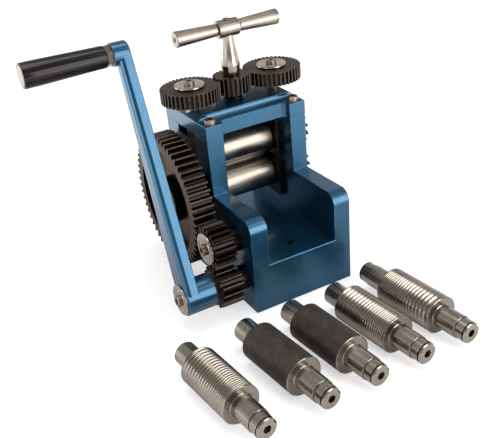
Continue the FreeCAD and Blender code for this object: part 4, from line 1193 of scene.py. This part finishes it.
class MILL_OT_adjusters(bpy.types.Operator):
    """Adjusting screws with their gears, washers and lock screws"""
    bl_idname = "mill.adjusters"
    bl_label = "Adjusters"

    def execute(self, context):
        dressed("centre_pinion", sizes().tooth_edge)
        dressed("spindle_ring", sizes().tooth_edge)
        for side in ("left", "right"):
            dressed("adjust_gear_" + side, sizes().tooth_edge)
            dressed("adjust_screw_" + side, sizes().tooth_edge)
            washer("adjust_washer_" + side, "Z")
            seat = middle("adjust_washer_" + side)
            seat.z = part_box("adjust_washer_" + side)[1].z
            screw("adjust_lock_screw_" + side, "Z", 1, [seat], **LOCK_SCREW)
        return {"FINISHED"}


class MILL_OT_handle(bpy.types.Operator):
    """Cross handle on its bottle-shaped spindle"""
    bl_idname = "mill.handle"
    bl_label = "Handle"

    def execute(self, context):
        handle_spindle()
        handle_hub()
        handle_bar("handle_bar_left", -1)
        handle_bar("handle_bar_right", 1)
        return {"FINISHED"}


class MILL_OT_spare_rolls(bpy.types.Operator):
    """Five spare rolls lying in front of the mill"""
    bl_idname = "mill.spare_rolls"
    bl_label = "Spare rolls"

    def execute(self, context):
        half_round = grooved_barrel(round_groove, first=4.6, last=2.0, count=20, land=0.35)
        narrowing = grooved_barrel(vee_groove, first=4.8, last=1.5, count=20, land=0.45)
        widening = grooved_barrel(vee_groove, first=1.5, last=5.0, count=19, land=0.45)
        spare_roll("spare_half_round_roll", plain_end(), half_round)
        spare_roll("spare_pattern_roll_a", plain_end(), plain_barrel(), etched=True)
        spare_roll("spare_pattern_roll_b", plain_end(), plain_barrel(), etched=True)
        spare_roll("spare_wire_roll_a", plain_end(), narrowing)
        spare_roll("spare_wire_roll_b", seated_end(REAR_SEAT), widening)
        return {"FINISHED"}


class MILL_OT_stage(bpy.types.Operator):
    """Set the pale floor, the soft lights and the camera"""
    bl_idname = "mill.stage"
    bl_label = "Stage"

    def execute(self, context):
        set_camera()
        set_world()
        set_floor()
        for light in LIGHTS:
            soft_light(*light)
        return {"FINISHED"}


STEPS = (MILL_OT_castings, MILL_OT_bearings, MILL_OT_rolls, MILL_OT_coupling, MILL_OT_drive,
         MILL_OT_crank, MILL_OT_adjusters, MILL_OT_handle, MILL_OT_spare_rolls, MILL_OT_stage)


class MILL_PT_panel(bpy.types.Panel):
    """Sizes, colours and steps of the rolling mill"""
    bl_label = "Rolling Mill"
    bl_idname = "MILL_PT_panel"
    bl_space_type = "VIEW_3D"
    bl_region_type = "UI"
    bl_category = "Rolling Mill"

    def draw(self, context):
        for group in (context.scene.mill_sizes, context.scene.mill_colours):
            for name in group.__annotations__:
                self.layout.prop(group, name)
        for step in STEPS:
            self.layout.operator(step.bl_idname)


CLASSES = (MillSizes, MillColours) + STEPS + (MILL_PT_panel,)


def register():
    for item in CLASSES:
        bpy.utils.register_class(item)
    bpy.types.Scene.mill_sizes = bpy.props.PointerProperty(type=MillSizes)
    bpy.types.Scene.mill_colours = bpy.props.PointerProperty(type=MillColours)


def unregister():
    del bpy.types.Scene.mill_colours
    del bpy.types.Scene.mill_sizes
    for item in reversed(CLASSES):
        bpy.utils.unregister_class(item)


def main():
    register()
    bpy.context.scene.view_settings.view_transform = "Standard"
    edge_mask_group()
    grain_group()
    turning_group()
    bpy.ops.mill.castings()
    bpy.ops.mill.bearings()
    bpy.ops.mill.rolls()
    bpy.ops.mill.coupling()
    bpy.ops.mill.drive()
    bpy.ops.mill.crank()
    bpy.ops.mill.adjusters()
    bpy.ops.mill.handle()
    bpy.ops.mill.spare_rolls()
    bpy.ops.mill.stage()


if __name__ == "__main__":
    main()
